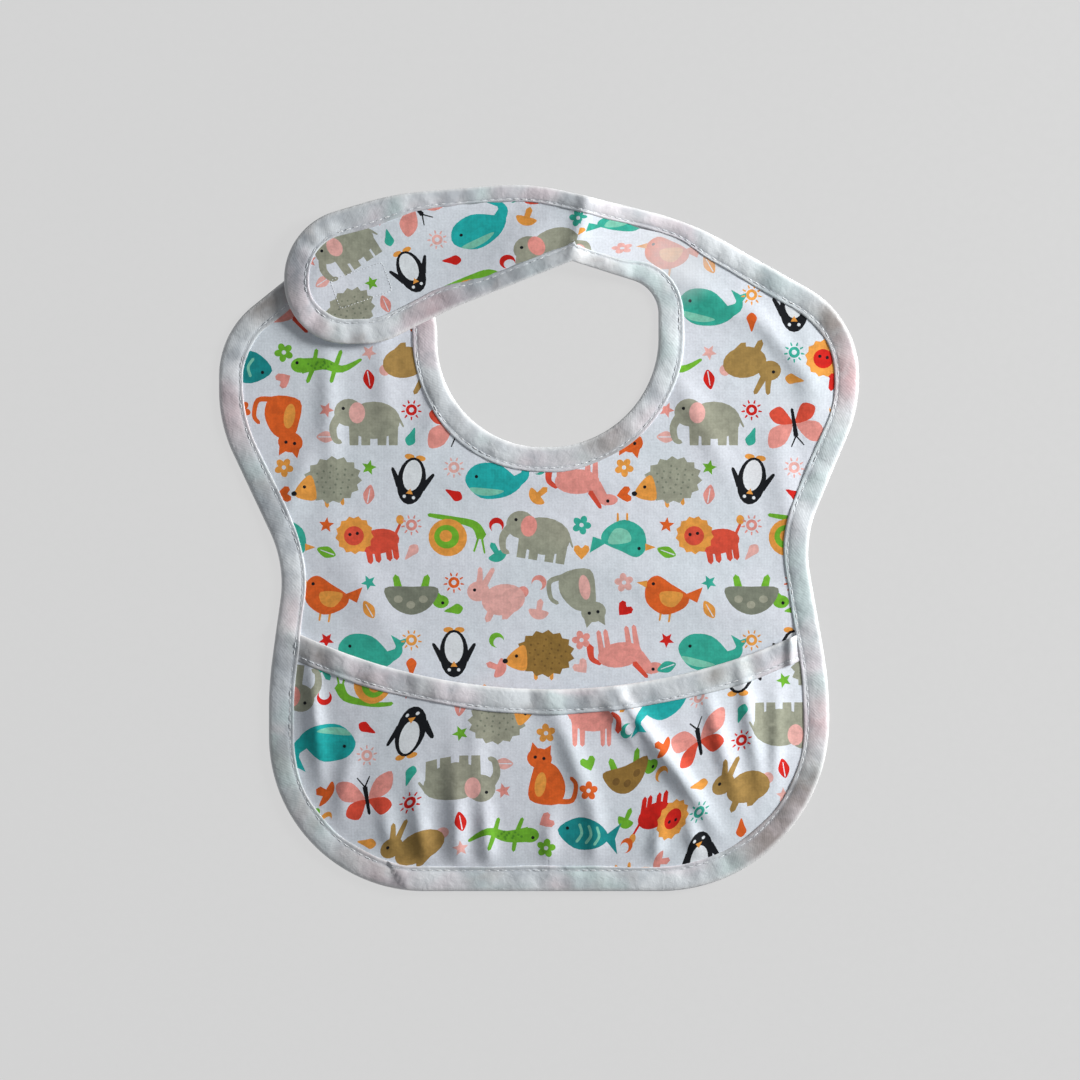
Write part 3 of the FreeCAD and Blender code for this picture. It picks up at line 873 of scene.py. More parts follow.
def triangulate(region, shapes, grid):
    """Triangles that fill a region and follow the shapes' edges, and the topmost shape on each."""
    coords, faces = [], []
    for points in [region, *[points for _, points in shapes]]:
        first = len(coords)
        coords += points.tolist()
        corners = list(range(first, len(coords)))
        faces.append(corners if signed_area(points) > 0 else corners[::-1])
    coords += grid.tolist()
    made = delaunay_2d_cdt([Vector(p) for p in coords], [], faces, 0, 1e-4, True)
    kept = [(face, max(source)) for face, source in zip(made[2], made[5]) if 0 in source]
    used = np.unique([corner for face, _ in kept for corner in face])
    place = {old: new for new, old in enumerate(used.tolist())}
    points = np.array([tuple(made[0][k]) for k in used])
    return points, [[place[corner] for corner in face] for face, _ in kept], [top for _, top in kept]


def printed_sheet(name, region, shapes, height, step, material):
    """A sheet of printed cloth, its inks in a colour attribute."""
    points, faces, tops = triangulate(region, shapes, grid_in(region, step))
    x, y = points.T
    solid = np.column_stack([points, height(x, y)])
    piece = make_piece(name, solid, faces, "printed_cloth", material, normals=slopes(height, x, y))
    inks = [(*INKS[ink], 0.0 if ink in UNDYED else 1.0) for ink in ["cloth", *[ink for ink, _ in shapes]]]
    colours = np.array([inks[top] for top in tops]).repeat([len(face) for face in faces], axis=0)
    layer = piece.data.color_attributes.new("inks", "FLOAT_COLOR", "CORNER")
    layer.data.foreach_set("color", colours.astype(np.float32).ravel())
    return piece


def plain_sheet(name, region, height, step, slot, material):
    """The cloth's backing: the same sheet with its face down."""
    points, faces, _ = triangulate(region, [], grid_in(region, step))
    x, y = points.T
    solid = np.column_stack([points, height(x, y)])
    down = [face[::-1] for face in faces]
    return make_piece(name, solid, down, slot, material, normals=-slopes(height, x, y))


def tube_faces(rings, around, closed=True):
    """Quads between rings of points laid out one after another, and caps at the two ends."""
    faces = []
    for r in range(rings - 1):
        for k in range(around):
            a, b = r * around + k, r * around + (k + 1) % around
            faces.append([a, b, b + around, a + around])
    if closed:
        faces.append(list(range(around))[::-1])
        faces.append(list(range((rings - 1) * around, rings * around)))
    return faces


def many(points, faces):
    """The same faces for each of several copies of the points."""
    count = points.shape[1]
    copied = [[corner + copy * count for corner in face] for copy in range(len(points)) for face in faces]
    return points.reshape(-1, 3), copied


# ---------------------------------------------------------------- tape
TAPE_FRONT = [  # distance in from the fold, and height over the cloth's face
    (10.0, 0.02),
    (9.9, 0.32),
    (9.4, 0.44),
    (8.9, 0.40),
    (8.4, 0.24),
    (7.9, 0.42),
    (7.0, 0.64),
    (5.4, 0.80),
    (3.6, 0.84),
    (1.8, 0.72),
    (0.6, 0.42),
    (0.05, -0.05),
]
TAPE_BACK = [
    (0.3, -0.5),
    (1.4, -0.82),
    (4.5, -0.90),
    (7.6, -0.84),
    (8.4, -0.70),
    (9.2, -0.82),
    (9.9, -0.84),
    (10.0, -0.52),
]
STAIN_AND_SHADE_INKS = {
    "brown": (132, 122, 116),
    "pink": (222, 176, 180),
    "teal": (164, 186, 188),
    "smoke": (148, 155, 164),
}
TAPE_STAINS_AND_SHADE = [  # soft blots of colour, mostly stains and print showing through, some painted shade: x, y, reach, ink and strength
    # these two: the tab's painted shadow on the shoulder tape, over a stain
    (-111, 97, 11, "brown", 0.95),
    (-98, 108, 9, "smoke", 0.9),
    (-123, 52, 11, "pink", 0.4),
    (-119, 30, 13, "teal", 0.5),
    (-107, 10, 13, "smoke", 0.5),
    (-100, -30, 10, "pink", 0.35),
    (-106, -62, 16, "smoke", 0.5),
    (-92, -112, 16, "teal", 0.45),
    (-60, -134, 13, "pink", 0.3),
    (92, -119, 15, "brown", 0.8),
    (106, -98, 13, "brown", 0.75),
    (112, -72, 10, "pink", 0.6),
    (110, -34, 13, "teal", 0.6),
    (104, 2, 12, "smoke", 0.4),
    (124, 66, 13, "pink", 0.75),
    (118, 88, 10, "brown", 0.85),
    (96, 104, 12, "teal", 0.6),
    (-42, 92, 11, "pink", 0.4),
    (-30, 52, 9, "smoke", 0.4),
    (28, 39, 12, "brown", 0.7),
    (2, 36, 9, "smoke", 0.35),
    # these two: painted shade on the strap's lower tape, which faces away from the light left of the crease
    (-8, 104, 16, "smoke", 0.6),
    (-34, 93, 12, "smoke", 0.55),
    (-70, 126, 14, "smoke", 0.35),
    (-90, -47, 8, "brown", 0.75),
    # these two: painted shade in the mouth tape's pinches
    (44, -64, 6, "smoke", 0.8),
    (70, -54, 6, "brown", 0.7),
    (-72, -126, 9, "brown", 0.45),
    (-104, -88, 9, "brown", 0.4),
]
JOIN_PLACE, JOIN_WAY = np.array([-60.0, -130.0]), np.array([0.85, 0.527])
MOUTH_LEFT, MOUTH_RIGHT = -98.5, 107.0
MITRE_REACH = 9.0


def front_height(x, y):
    """The face that the edge tape lies on: the body's, or the pocket's below its mouth."""
    below = mouth_y(x) - y
    body = body_height(x, y)
    bump = 0.55 * np.exp(-(((below - 5) / 6) ** 2))
    along = (x - JOIN_PLACE[0]) * JOIN_WAY[0] + (y - JOIN_PLACE[1]) * JOIN_WAY[1]
    near_join = np.exp(-(((x - JOIN_PLACE[0]) / 16) ** 2) - ((y - JOIN_PLACE[1]) / 14) ** 2)
    join = 0.8 * ease(along / 0.45) * near_join
    return body + (pocket_height(x, y) - body) * ease((below + 4) / 8) + bump + join


def mouth_front(x, y):
    """The face the mouth's tape lies on, with a small pointed fold at its right end."""
    return pocket_height(x, y) + 1.8 * np.exp(-(((x - 100.5) / 1.8) ** 2))


def run_of(path, first_way=None, last_way=None, start=0.0):
    """A tape's course: points, ways in from its fold (mitred at a given end), and distance along."""
    points = evenly(path, STITCH_PITCH / 6)
    ways = inward(points)
    along = np.concatenate([[0], np.cumsum(np.linalg.norm(np.diff(points, axis=0), axis=1))])
    for way, distance, k in ((first_way, along, 0), (last_way, along[-1] - along, -1)):
        if way is not None:
            mitre = way / (way @ ways[k])
            share = np.clip(distance / MITRE_REACH, 0, 1)[:, None]
            ways = mitre * (1 - share) + ways * share
    return np.column_stack([points, ways, along + start])


def stains_and_shade(points):
    """The blots' colour at each point, stains and painted shade alike, and how strongly it shows."""
    blend = np.zeros((len(points), 4))
    for x, y, reach, name, strength in TAPE_STAINS_AND_SHADE:
        share = strength * np.exp(-((points[:, 0] - x) ** 2 + (points[:, 1] - y) ** 2) / reach**2)
        blend += share[:, None] * np.array([*srgb(*STAIN_AND_SHADE_INKS[name]), 1.0])
    blend[:, :3] /= np.maximum(blend[:, 3:], 1e-6)
    blend[:, 3] = np.minimum(blend[:, 3], 0.85)
    return blend


def front_share(run):
    """How much of the tape's width shows in front: it is folded narrower on both edges near the crease."""
    x, y = run[:, 0], run[:, 1]
    top = 0.33 * ease((x + 70) / 30) * ease((84 - x) / 26) * ease((y - 118) / 10)
    low = 0.34 * ease((x + 40) / 22) * ease((46 - x) / 16) * ease((y - 84) / 10) * ease((118 - y) / 6)
    return 1 - top - low


def tape_strip(run, front, back, thick=None, fade=None):
    """A folded tape along a run; front and back are the faces it lies on."""
    place, way, along = run[:, :2], run[:, 2:4], run[:, 4]
    thick = np.ones(len(run)) if thick is None else thick
    fade = np.ones(len(run)) if fade is None else fade
    wander = 0.28 * np.sin(along / 13.1) + 0.16 * np.sin(along / 5.3 + np.sin(along / 17))
    short = 0.15 * np.sin(along / 1.9 + 1.7 * np.sin(along / 9.7))
    long = 0.26 * np.sin(along / 4.1 + 2.0 * np.sin(along / 14.3)) * (0.6 + 0.4 * np.sin(along / 23))
    pucker = short + long
    share = front_share(run)
    rows, band = [], []
    for layer, height, side in ((TAPE_FRONT, front, 1), (TAPE_BACK, back, -1)):
        for inset_by, rise in layer:
            loose = math.sin(math.pi * min(1, inset_by / TAPE_WIDTH)) * 0.9 + 0.25
            inner = max(0, inset_by - 8) / 2
            width = inset_by * (share if side > 0 else 1)
            flat = place + way * (width + wander * inner * fade)[:, None]
            swell = (rise + (pucker * loose * fade if side > 0 else 0)) * (thick if side > 0 else 1)
            rows.append(np.column_stack([flat, height(*flat.T) + swell]))
            band.append(np.column_stack([along, np.full(len(run), inset_by * side)]))
    around = len(rows)
    points = np.stack(rows, axis=1).reshape(-1, 3)
    return points, tube_faces(len(run), around, False), np.stack(band, axis=1).reshape(-1, 2)


def lane(run, distance):
    return run[:, :2] + run[:, 2:4] * np.reshape(distance, (-1, 1))


def joined(parts):
    """Several (points, faces, ...) as one."""
    faces, first = [], 0
    for part in parts:
        faces += [[corner + first for corner in face] for face in part[1]]
        first += len(part[0])
    rest = [np.vstack([part[k] for part in parts]) for k in range(2, len(parts[0]))]
    return (np.vstack([part[0] for part in parts]), faces, *rest)


# ---------------------------------------------------------------- stitches
STITCH_RINGS = [  # place along the stitch, thickness and height
    (-0.50, 0.35, -0.20),
    (-0.42, 0.80, -0.07),
    (-0.18, 1.00, 0.00),
    (0.18, 1.00, 0.00),
    (0.42, 0.80, -0.07),
    (0.50, 0.35, -0.20),
]
STITCH_AROUND = 6


def stitch_row(course, pitch, height, length=2.5, wide=0.42, side=1):
    """Separate stitches along a course; each dives into the cloth at its two ends."""
    ends = evenly(course, pitch)
    middles = (ends[1:] + ends[:-1]) / 2
    ways = ends[1:] - ends[:-1]
    ways /= np.linalg.norm(ways, axis=1)[:, None]
    across = np.stack([-ways[:, 1], ways[:, 0]], axis=1)
    rings = []
    for share, size, dive in STITCH_RINGS:
        centre = middles + ways * (share * length)
        level = height(*centre.T) + dive * side
        for k in range(STITCH_AROUND):
            a = -side * math.tau * k / STITCH_AROUND
            flat = centre + across * (math.cos(a) * size * wide / 2)
            rings.append(np.column_stack([flat, level + math.sin(a) * size * wide * 0.36]))
    return many(np.stack(rings, axis=1), tube_faces(len(STITCH_RINGS), STITCH_AROUND))


def over(height, rise):
    return lambda x, y: height(x, y) + rise


# ---------------------------------------------------------------- patches
def turned(points, centre, degrees):
    c, s = math.cos(math.radians(degrees)), math.sin(math.radians(degrees))
    x, y = points[:, 0], points[:, 1]
    return np.column_stack([centre[0] + x * c - y * s, centre[1] + x * s + y * c])


def rounded_box(wide, tall, radius, steps=5):
    """A rectangle with round corners, anticlockwise."""
    points = []
    for quarter, (sx, sy) in enumerate(((1, 1), (-1, 1), (-1, -1), (1, -1))):
        for k in range(steps + 1):
            a = (quarter + k / steps) * math.pi / 2
            x, y = sx * (wide / 2 - radius), sy * (tall / 2 - radius)
            points.append((x + radius * math.cos(a), y + radius * math.sin(a)))
    return np.array(points)


def patch_slab(outline, low, high):
    """A woven base with soft edges."""
    centre = outline.mean(axis=0)
    levels = [(0.97, low), (1.0, low + 0.1), (1.0, high - 0.12), (0.975, high), (0.9, high), (0.4, high)]
    rings = []
    for out, z in levels:
        rings.append(np.column_stack([centre + (outline - centre) * out, np.full(len(outline), z)]))
    return np.vstack(rings), tube_faces(len(rings), len(outline))


def patch_field(wide, tall, step_x, step_y):
    """Staggered places on a patch, inside its stitching."""
    places = []
    for j, y in enumerate(np.arange(-tall / 2 + 2.4, tall / 2 - 2.3, step_y)):
        for x in np.arange(-wide / 2 + 2.4 + step_x / 2 * (j % 2), wide / 2 - 2.3, step_x):
            places.append((x, y))
    return np.array(places)


def strands(places, centre, degrees, line, thick, base, side):
    """A short bent strand at each place. line is its course: out along a row, and up."""
    around, rings = 4, []
    for k, (out, up) in enumerate(line):
        size = thick * (1.0 if k else 1.3)
        for j in range(around):
            a = math.tau * j / around
            sway = 0.35 * np.sin(places[:, 0] * 3.1 + places[:, 1] * 5.3)
            local = places + np.column_stack([np.full_like(sway, out), sway * up + size * math.cos(a)])
            level = base + side * (up + size * 0.6 * math.sin(a))
            rings.append(np.column_stack([turned(local, centre, degrees), np.full(len(places), level)]))
    return many(np.stack(rings, axis=1), tube_faces(len(line), around))


# ---------------------------------------------------------------- materials
def feed(tree, node, inputs):
    """A node's inputs: values to set, or outputs to link."""
    for key, value in inputs.items():
        if isinstance(value, bpy.types.NodeSocket):
            tree.links.new(value, node.inputs[key])
        else:
            node.inputs[key].default_value = value


def add(tree, kind, inputs=None, **settings):
    """A shader node, with its settings and its inputs."""
    made = tree.nodes.new("ShaderNode" + kind)
    for key, value in settings.items():
        setattr(made, key, value)
    feed(tree, made, inputs or {})
    return made


def new_material(name):
    material = bpy.data.materials.new(name)
    material.use_nodes = True
    tree = material.node_tree
    tree.nodes.clear()
    shader = add(tree, "BsdfPrincipled")
    out = add(tree, "OutputMaterial")
    tree.links.new(shader.outputs[0], out.inputs[0])
    return material, tree, shader


def noise(tree, place, scale, detail=2.0, distortion=0.0):
    inputs = {"Vector": place, "Scale": scale, "Detail": detail, "Distortion": distortion}
    return add(tree, "TexNoise", inputs).outputs["Fac"]


def spread(tree, value, low, high, to_low, to_high):
    """A value's range mapped smoothly to another."""
    inputs = {"Value": value, "From Min": low, "From Max": high, "To Min": to_low, "To Max": to_high}
    return add(tree, "MapRange", inputs, interpolation_type="SMOOTHSTEP").outputs[0]


def mixed(tree, share, a, b, blend="MIX"):
    made = add(tree, "Mix", {0: share, 6: a, 7: b}, data_type="RGBA", blend_type=blend)
    return made.outputs[2]


def maths(tree, operation, a, b=0.0):
    return add(tree, "Math", {0: a, 1: b}, operation=operation).outputs[0]


def flat_place(tree, name):
    return add(tree, "UVMap", uv_map=name).outputs[0]


def bump(tree, shader, height, distance, strength=1.0):
    made = add(tree, "Bump", {"Height": height, "Distance": distance, "Strength": strength})
    tree.links.new(made.outputs[0], shader.inputs["Normal"])


def waves(tree, place, scale, distortion, direction):
    inputs = {"Vector": place, "Scale": scale, "Distortion": distortion}
    return add(tree, "TexWave", inputs, bands_direction=direction).outputs["Fac"]


def weave(tree, place, period):
    """A plain weave: threads over and under each other."""
    scale = 0.314 / period
    return maths(tree, "ADD", *[waves(tree, place, scale, 0.6, direction) for direction in "XY"])


def grey(value):
    return (value, value, value, 1.0)


def ink(*rgb):
    return (*srgb(*rgb), 1.0)


def printed_cloth_material():
    material, tree, shader = new_material("printed_cloth")
    place = flat_place(tree, "plan")
    inks = add(tree, "VertexColor", layer_name="inks")
    colour, inked = inks.outputs["Color"], inks.outputs["Alpha"]
    pools = noise(tree, place, 320, 4.0, 0.6)
    grain = noise(tree, place, 1300, 2.0)
    wash = noise(tree, place, 22, 2.0)
    depth = maths(tree, "MULTIPLY_ADD", inked, 0.0)
    depth.node.inputs[1].default_value = 0.08
    depth.node.inputs[2].default_value = 0.035
    swing = maths(tree, "MULTIPLY", spread(tree, pools, 0.3, 0.7, -1, 1), depth)
    fine = spread(tree, grain, 0.3, 0.7, -0.05, 0.05)
    level = maths(tree, "ADD", maths(tree, "ADD", swing, fine), 1.0)
    shaded = mixed(tree, 1.0, colour, level, "MULTIPLY")
    cool = mixed(tree, spread(tree, wash, 0.35, 0.65, 0.0, 1.0), ink(248, 250, 255), ink(240, 246, 250))
    tinted = mixed(tree, 1.0, shaded, cool, "MULTIPLY")
    # painted highlight: the print washes pale towards the cloth's colour round plan (54, 112) mm, on the
    # strap's root by the neck
    highlight_spot = {0: place, 1: (0.054, 0.112, 0.0)}
    away = add(tree, "VectorMath", highlight_spot, operation="DISTANCE").outputs["Value"]
    painted_highlight = spread(tree, away, 0.006, 0.022, 0.55, 0.0)
    final = mixed(tree, painted_highlight, tinted, (*INKS["cloth"], 1.0))
    feed(tree, shader, {
        "Base Color": final,
        "Roughness": spread(tree, grain, 0.3, 0.7, 0.62, 0.8),
        "Specular IOR Level": 0.25,
        "Sheen Weight": 0.03,
    })
    creases = noise(tree, place, 120, 3.0)
    threads = maths(tree, "MULTIPLY", weave(tree, place, 0.0006), 0.03)
    relief = maths(tree, "ADD", threads, maths(tree, "MULTIPLY", creases, 0.7))
    bump(tree, shader, relief, 0.0004)
    return material


def binding_tape_material():
    material, tree, shader = new_material("binding_tape")
    place, band = flat_place(tree, "plan"), flat_place(tree, "band")
    across = maths(tree, "ABSOLUTE", add(tree, "SeparateXYZ", {0: band}).outputs["Y"])
    shifted = add(tree, "VectorMath", {0: place, 1: (0.31, 0.17, 0.0)}, operation="ADD").outputs[0]
    moved = add(tree, "VectorMath", {0: place, 1: (0.73, 0.59, 0.0)}, operation="ADD").outputs[0]
    teal = spread(tree, noise(tree, place, 30, 2.0, 0.4), 0.48, 0.64, 0.0, 0.65)
    pink = spread(tree, noise(tree, shifted, 26, 2.0, 0.4), 0.50, 0.66, 0.0, 0.65)
    smoke = spread(tree, noise(tree, moved, 60, 3.0, 0.3), 0.46, 0.72, 0.0, 0.75)
    earth = spread(tree, noise(tree, moved, 38, 3.0, 0.5), 0.54, 0.72, 0.0, 0.5)
    base = mixed(tree, teal, ink(233, 238, 243), ink(192, 214, 214))
    base = mixed(tree, pink, base, ink(236, 218, 226))
    base = mixed(tree, smoke, base, ink(180, 187, 195))
    base = mixed(tree, earth, base, ink(182, 172, 168))
    # blots of stain and of painted shade, from the tape's colour attribute
    blots_and_shade = add(tree, "VertexColor", layer_name="blots_and_shade")
    patchy = spread(tree, noise(tree, moved, 140, 3.0, 0.3), 0.3, 0.6, 0.7, 1.0)
    blot_and_shade_share = maths(tree, "MULTIPLY", blots_and_shade.outputs["Alpha"], patchy)
    base = mixed(tree, blot_and_shade_share, base, blots_and_shade.outputs["Color"])
    # painted highlight: the tape is whitened along its rounded fold
    painted_rim_highlight = spread(tree, across, 0.0, 0.0022, 0.6, 0.0)
    base = mixed(tree, painted_rim_highlight, base, ink(250, 251, 252))
    # painted shade: the tape is darkened in the dip along its stitch line
    painted_groove_shade = spread(tree, across, 0.0072, 0.0082, 0.0, 0.35)
    painted_stitch_shade = maths(tree, "SUBTRACT", painted_groove_shade, spread(tree, across, 0.0086, 0.0098, 0.0, 0.25))
    base = mixed(tree, painted_stitch_shade, base, ink(196, 203, 212))
    feed(tree, shader, {"Base Color": base})
    sheen = spread(tree, noise(tree, place, 240, 2.0), 0.3, 0.7, 0.34, 0.5)
    feed(tree, shader, {"Roughness": sheen, "Sheen Weight": 0.2})
    twill = waves(tree, band, 480.0, 0.4, "DIAGONAL")
    crinkle = noise(tree, place, 330, 3.0, 0.3)
    relief = maths(tree, "ADD", maths(tree, "MULTIPLY", twill, 0.04), maths(tree, "MULTIPLY", crinkle, 0.9))
    bump(tree, shader, relief, 0.00035)
    return material


def film_material():
    material, tree, shader = new_material("waterproof_film")
    place = flat_place(tree, "plan")
    cloudy = noise(tree, place, 18, 3.0)
    fine = noise(tree, place, 420, 2.0)
    base = mixed(tree, spread(tree, cloudy, 0.35, 0.65, 0.0, 1.0), ink(236, 239, 243), ink(222, 228, 234))
    base = mixed(tree, spread(tree, fine, 0.4, 0.7, 0.0, 0.3), base, ink(212, 218, 226))
    feed(tree, shader, {
        "Base Color": base,
        "Roughness": spread(tree, fine, 0.3, 0.7, 0.22, 0.36),
        "Coat Weight": 0.25,
    })
    wrinkles = noise(tree, place, 95, 4.0, 0.8)
    relief = maths(tree, "ADD", maths(tree, "MULTIPLY", weave(tree, place, 0.0009), 0.08), wrinkles)
    bump(tree, shader, relief, 0.0006)
    return material


def thread_material():
    material, tree, shader = new_material("thread")
    place = flat_place(tree, "plan")
    twist = waves(tree, place, 1100.0, 0.0, "DIAGONAL")
    wear = noise(tree, place, 60, 2.0)
    base = mixed(tree, spread(tree, wear, 0.35, 0.65, 0.0, 1.0), ink(246, 247, 248), ink(226, 231, 236))
    base = mixed(tree, maths(tree, "MULTIPLY", twist, 0.22), base, ink(190, 196, 204))
    feed(tree, shader, {"Base Color": base, "Roughness": 0.45, "Sheen Weight": 0.3})
    bump(tree, shader, twist, 0.00008)
    return material


def patch_material(name, light, dark, rough, pitch):
    material, tree, shader = new_material(name)
    place = flat_place(tree, "plan")
    fuzz = noise(tree, place, 1500, 3.0)
    rows = weave(tree, place, pitch)
    base = mixed(tree, spread(tree, fuzz, 0.3, 0.7, 0.0, 1.0), ink(*light), ink(*dark))
    base = mixed(tree, maths(tree, "MULTIPLY", rows, 0.14), base, ink(*dark))
    feed(tree, shader, {"Base Color": base, "Roughness": rough})
    relief = maths(tree, "ADD", rows, maths(tree, "MULTIPLY", fuzz, 1.2))
    bump(tree, shader, relief, 0.00012)
    return material


def floor_material():
    """A pale sheet of card, lit evenly from below as on a light table."""
    material, tree, shader = new_material("pale_floor")
    place = add(tree, "NewGeometry").outputs["Position"]
    grain = noise(tree, place, 300, 2.0)
    tone = mixed(tree, spread(tree, grain, 0.3, 0.7, 0.0, 1.0), grey(0.056), grey(0.062))
    feed(tree, shader, {
        "Base Color": tone,
        "Roughness": 1.0,
        "Specular IOR Level": 0.0,
        "Emission Color": grey(1.0),
        "Emission Strength": FLOOR_GLOW,
    })
    return material


FLOOR_GLOW = 0.622
CLOTH = printed_cloth_material()
TAPE = binding_tape_material()
FILM = film_material()
THREAD = thread_material()
HOOKS = patch_material("hook_tape", (236, 238, 240), (208, 213, 219), 0.4, 0.0011)
LOOPS = patch_material("loop_tape", (238, 239, 240), (206, 210, 216), 0.85, 0.0009)

# ---------------------------------------------------------------- cloth pieces
STEP_BODY, STEP_POCKET, STEP_PLAIN = 2.8, 2.2, 3.2
MARGIN = 2.0


def laid_print(lay, region, half_plane=None):
    shapes = print_shapes(lay, region.min(axis=0) - MARGIN, region.max(axis=0) + MARGIN)
    if half_plane is None:
        return shapes
    cut = [(name, clipped(points, *half_plane)) for name, points in shapes]
    return [(name, points) for name, points in cut if len(points) > 2]


crease_sides = [(CREASE[:2], ACROSS_CREASE), (CREASE[:2], -ACROSS_CREASE)]
body_print = laid_print(print_on_body, BODY_REGION)
root_print = laid_print(print_on_body, ROOT_REGION, crease_sides[0])
strap_print = laid_print(print_on_strap, ROOT_REGION, crease_sides[1])
tab_print = laid_print(print_on_strap, TAB_REGION)

bib_cloth = printed_sheet("bib_cloth", BODY_REGION, body_print, body_height, STEP_BODY, CLOTH)
root_print += strap_print
strap_cloth = printed_sheet("strap_cloth", ROOT_REGION, root_print, strap_height, STEP_BODY, CLOTH)
tab_cloth = printed_sheet("tab_cloth", TAB_REGION, tab_print, strap_height, STEP_BODY, CLOTH)
film_under = over(body_height, -LAMINATE), over(strap_height, -LAMINATE)
bib_film = plain_sheet("bib_film", BODY_REGION, film_under[0], STEP_PLAIN, "waterproof_film", FILM)
strap_film = plain_sheet("strap_film", ROOT_REGION, film_under[1], STEP_PLAIN, "waterproof_film", FILM)
tab_film = plain_sheet("tab_film", TAB_REGION, film_under[1], STEP_PLAIN, "waterproof_film", FILM)

SEWN_MIDDLE = np.array([MOUTH_X, 0.0])
HALVES = {"left": np.array([-1.0, 0.0]), "right": np.array([1.0, 0.0])}
pocket_cloths, pocket_films = {}, {}
for half, outward in HALVES.items():
    region = clipped(POCKET_REGION, SEWN_MIDDLE, outward)
    shapes = laid_print(print_on_pocket, region)
    name = f"pocket_cloth_{half}"
    pocket_cloths[half] = printed_sheet(name, region, shapes, pocket_height, STEP_POCKET, CLOTH)
    name, under = f"pocket_film_{half}", over(pocket_height, -LAMINATE)
    pocket_films[half] = plain_sheet(name, region, under, STEP_PLAIN, "waterproof_film", FILM)

# ---------------------------------------------------------------- tape pieces
body_run = run_of(BODY_PATH, -ALONG_CREASE[:2], ALONG_CREASE[:2])
strap_run = run_of(STRAP_PATH, ALONG_CREASE[:2], -ALONG_CREASE[:2], body_run[-1, 4])
body_beyond = np.flatnonzero(crease_distance(body_run) > ROOT_SEAM)
body_first, body_last = body_beyond[0], body_beyond[-1]
strap_beyond = np.flatnonzero(crease_distance(strap_run) < STRAP_SEAM)
strap_first, strap_last = strap_beyond[0], strap_beyond[-1]


def tape_fade(run):
    """The tape's ripples die away at the crease."""
    return ease(np.abs(crease_distance(run)) / 12)


body_tape_run = body_run[body_first : body_last + 1]
tab_run = strap_run[strap_first : strap_last + 1]
lower_run = np.vstack([body_run[body_last:], strap_run[1 : strap_first + 1]])
upper_run = np.vstack([strap_run[strap_last:], body_run[1 : body_first + 1]])
LAP_FROM, LAP_TO = (-60.2, -129.6), (-54.6, -138.6)
HEM_FOLD_Y = -140.9  # the hem's fold, which the lap runs down to


def lap_edge():
    """The doubled edge of the tape's end, where it laps over its beginning: a thin diagonal ridge."""
    insets, rises = np.array(TAPE_FRONT)[::-1].T

    def level(x, y):
        return front_height(x, y) + np.interp(y - HEM_FOLD_Y, insets, rises) - 0.05

    points, faces = stitch_row(np.array([LAP_FROM, LAP_TO]), 0.8, level, 1.8, 0.7)
    return points, faces, np.tile([0.0, 5.0], (len(points), 1))


def edge_piece(name, runs, front, back):
    parts = [tape_strip(run, front, back, fade=tape_fade(run)) for run in runs]
    if name == "bib_tape":
        parts.append(lap_edge())
    points, faces, band = joined(parts)
    return make_piece(name, points, faces, "binding_tape", TAPE, band=band)


STITCH_RISE, STITCH_DROP = 0.30, 0.83


def back_row(run, back):
    level = over(back, -STITCH_DROP)
    return stitch_row(lane(run, STITCH_INSET), STITCH_PITCH, level, wide=0.3, side=-1)


def edge_stitches(name, runs, front, back):
    rows = []
    for run in runs:
        front_lane = lane(run, STITCH_INSET * front_share(run))
        rows.append(stitch_row(front_lane, STITCH_PITCH, over(front, STITCH_RISE)))
        rows.append(back_row(run, back))
    points, faces = joined(rows)
    return make_piece(name, points, faces, "thread", THREAD)


EDGE_GROUPS = {
    "bib": ([body_tape_run], front_height, body_height),
    "strap": ([lower_run, upper_run], strap_height, strap_height),
    "tab": ([tab_run], strap_height, strap_height),
}
tapes = {key: edge_piece(f"{key}_tape", *group) for key, group in EDGE_GROUPS.items()}
stitches = {key: edge_stitches(f"{key}_stitches", *group) for key, group in EDGE_GROUPS.items()}

mouth_x = np.linspace(MOUTH_LEFT, MOUTH_RIGHT, 240)
mouth_run = run_of(np.stack([mouth_x, mouth_y(mouth_x)], axis=1))
middle = np.argmin(np.abs(mouth_run[:, 0] - MOUTH_X))
mouth_tapes, mouth_stitches = {}, {}
for half, run in (("left", mouth_run[: middle + 1]), ("right", mouth_run[middle:])):
    to_end = np.minimum(run[:, 4], mouth_run[-1, 4] - run[:, 4])
    thick = 0.45 + 0.55 * ease((to_end - 6) / 16)
    points, faces, band = tape_strip(run, mouth_front, pocket_height, thick)
    mouth_tapes[half] = make_piece(f"mouth_tape_{half}", points, faces, "binding_tape", TAPE, band=band)
    shown = run[to_end > 7]
    rows = [
        stitch_row(lane(shown, STITCH_INSET), STITCH_PITCH, over(mouth_front, STITCH_RISE)),
        back_row(shown, pocket_height),
    ]
    mouth_stitches[half] = make_piece(f"mouth_stitches_{half}", *joined(rows), "thread", THREAD)


# ---------------------------------------------------------------- patch pieces
def node_frame(node):
    low, high = node_box(node)
    return (low + high)[:2] / 2, low[2], high[2]


PATCH_CORNER, PATCH_STITCH_INSET, PATCH_BASE = 2.0, 1.5, 0.55
LOOP_SIZE, HOOK_SIZE = (27.0, 15.0), (25.0, 15.0)
HOOK_TURN = math.degrees(math.atan2(-ALONG_PEEL[0], ALONG_PEEL[1]))
LOOP_LINE = [(-0.30, 0.0), (-0.34, 0.32), (0.0, 0.58), (0.34, 0.32), (0.30, 0.0)]
HOOK_LINE = [(0.0, 0.0), (-0.02, 0.34), (0.10, 0.60), (0.34, 0.62), (0.44, 0.42)]


def patch_stitches(centre, size, degrees, height, side, pitch=1.9, length=1.45, thick=0.42):
    wide, tall = size[0] - 2 * PATCH_STITCH_INSET, size[1] - 2 * PATCH_STITCH_INSET
    loop = rounded_box(wide, tall, 0.8)
    course = turned(np.vstack([loop, loop[:1]]), centre, degrees)
    return stitch_row(course, pitch, height, length, thick, side)


def level_at(z):
    return lambda x, y: np.full_like(x, z)


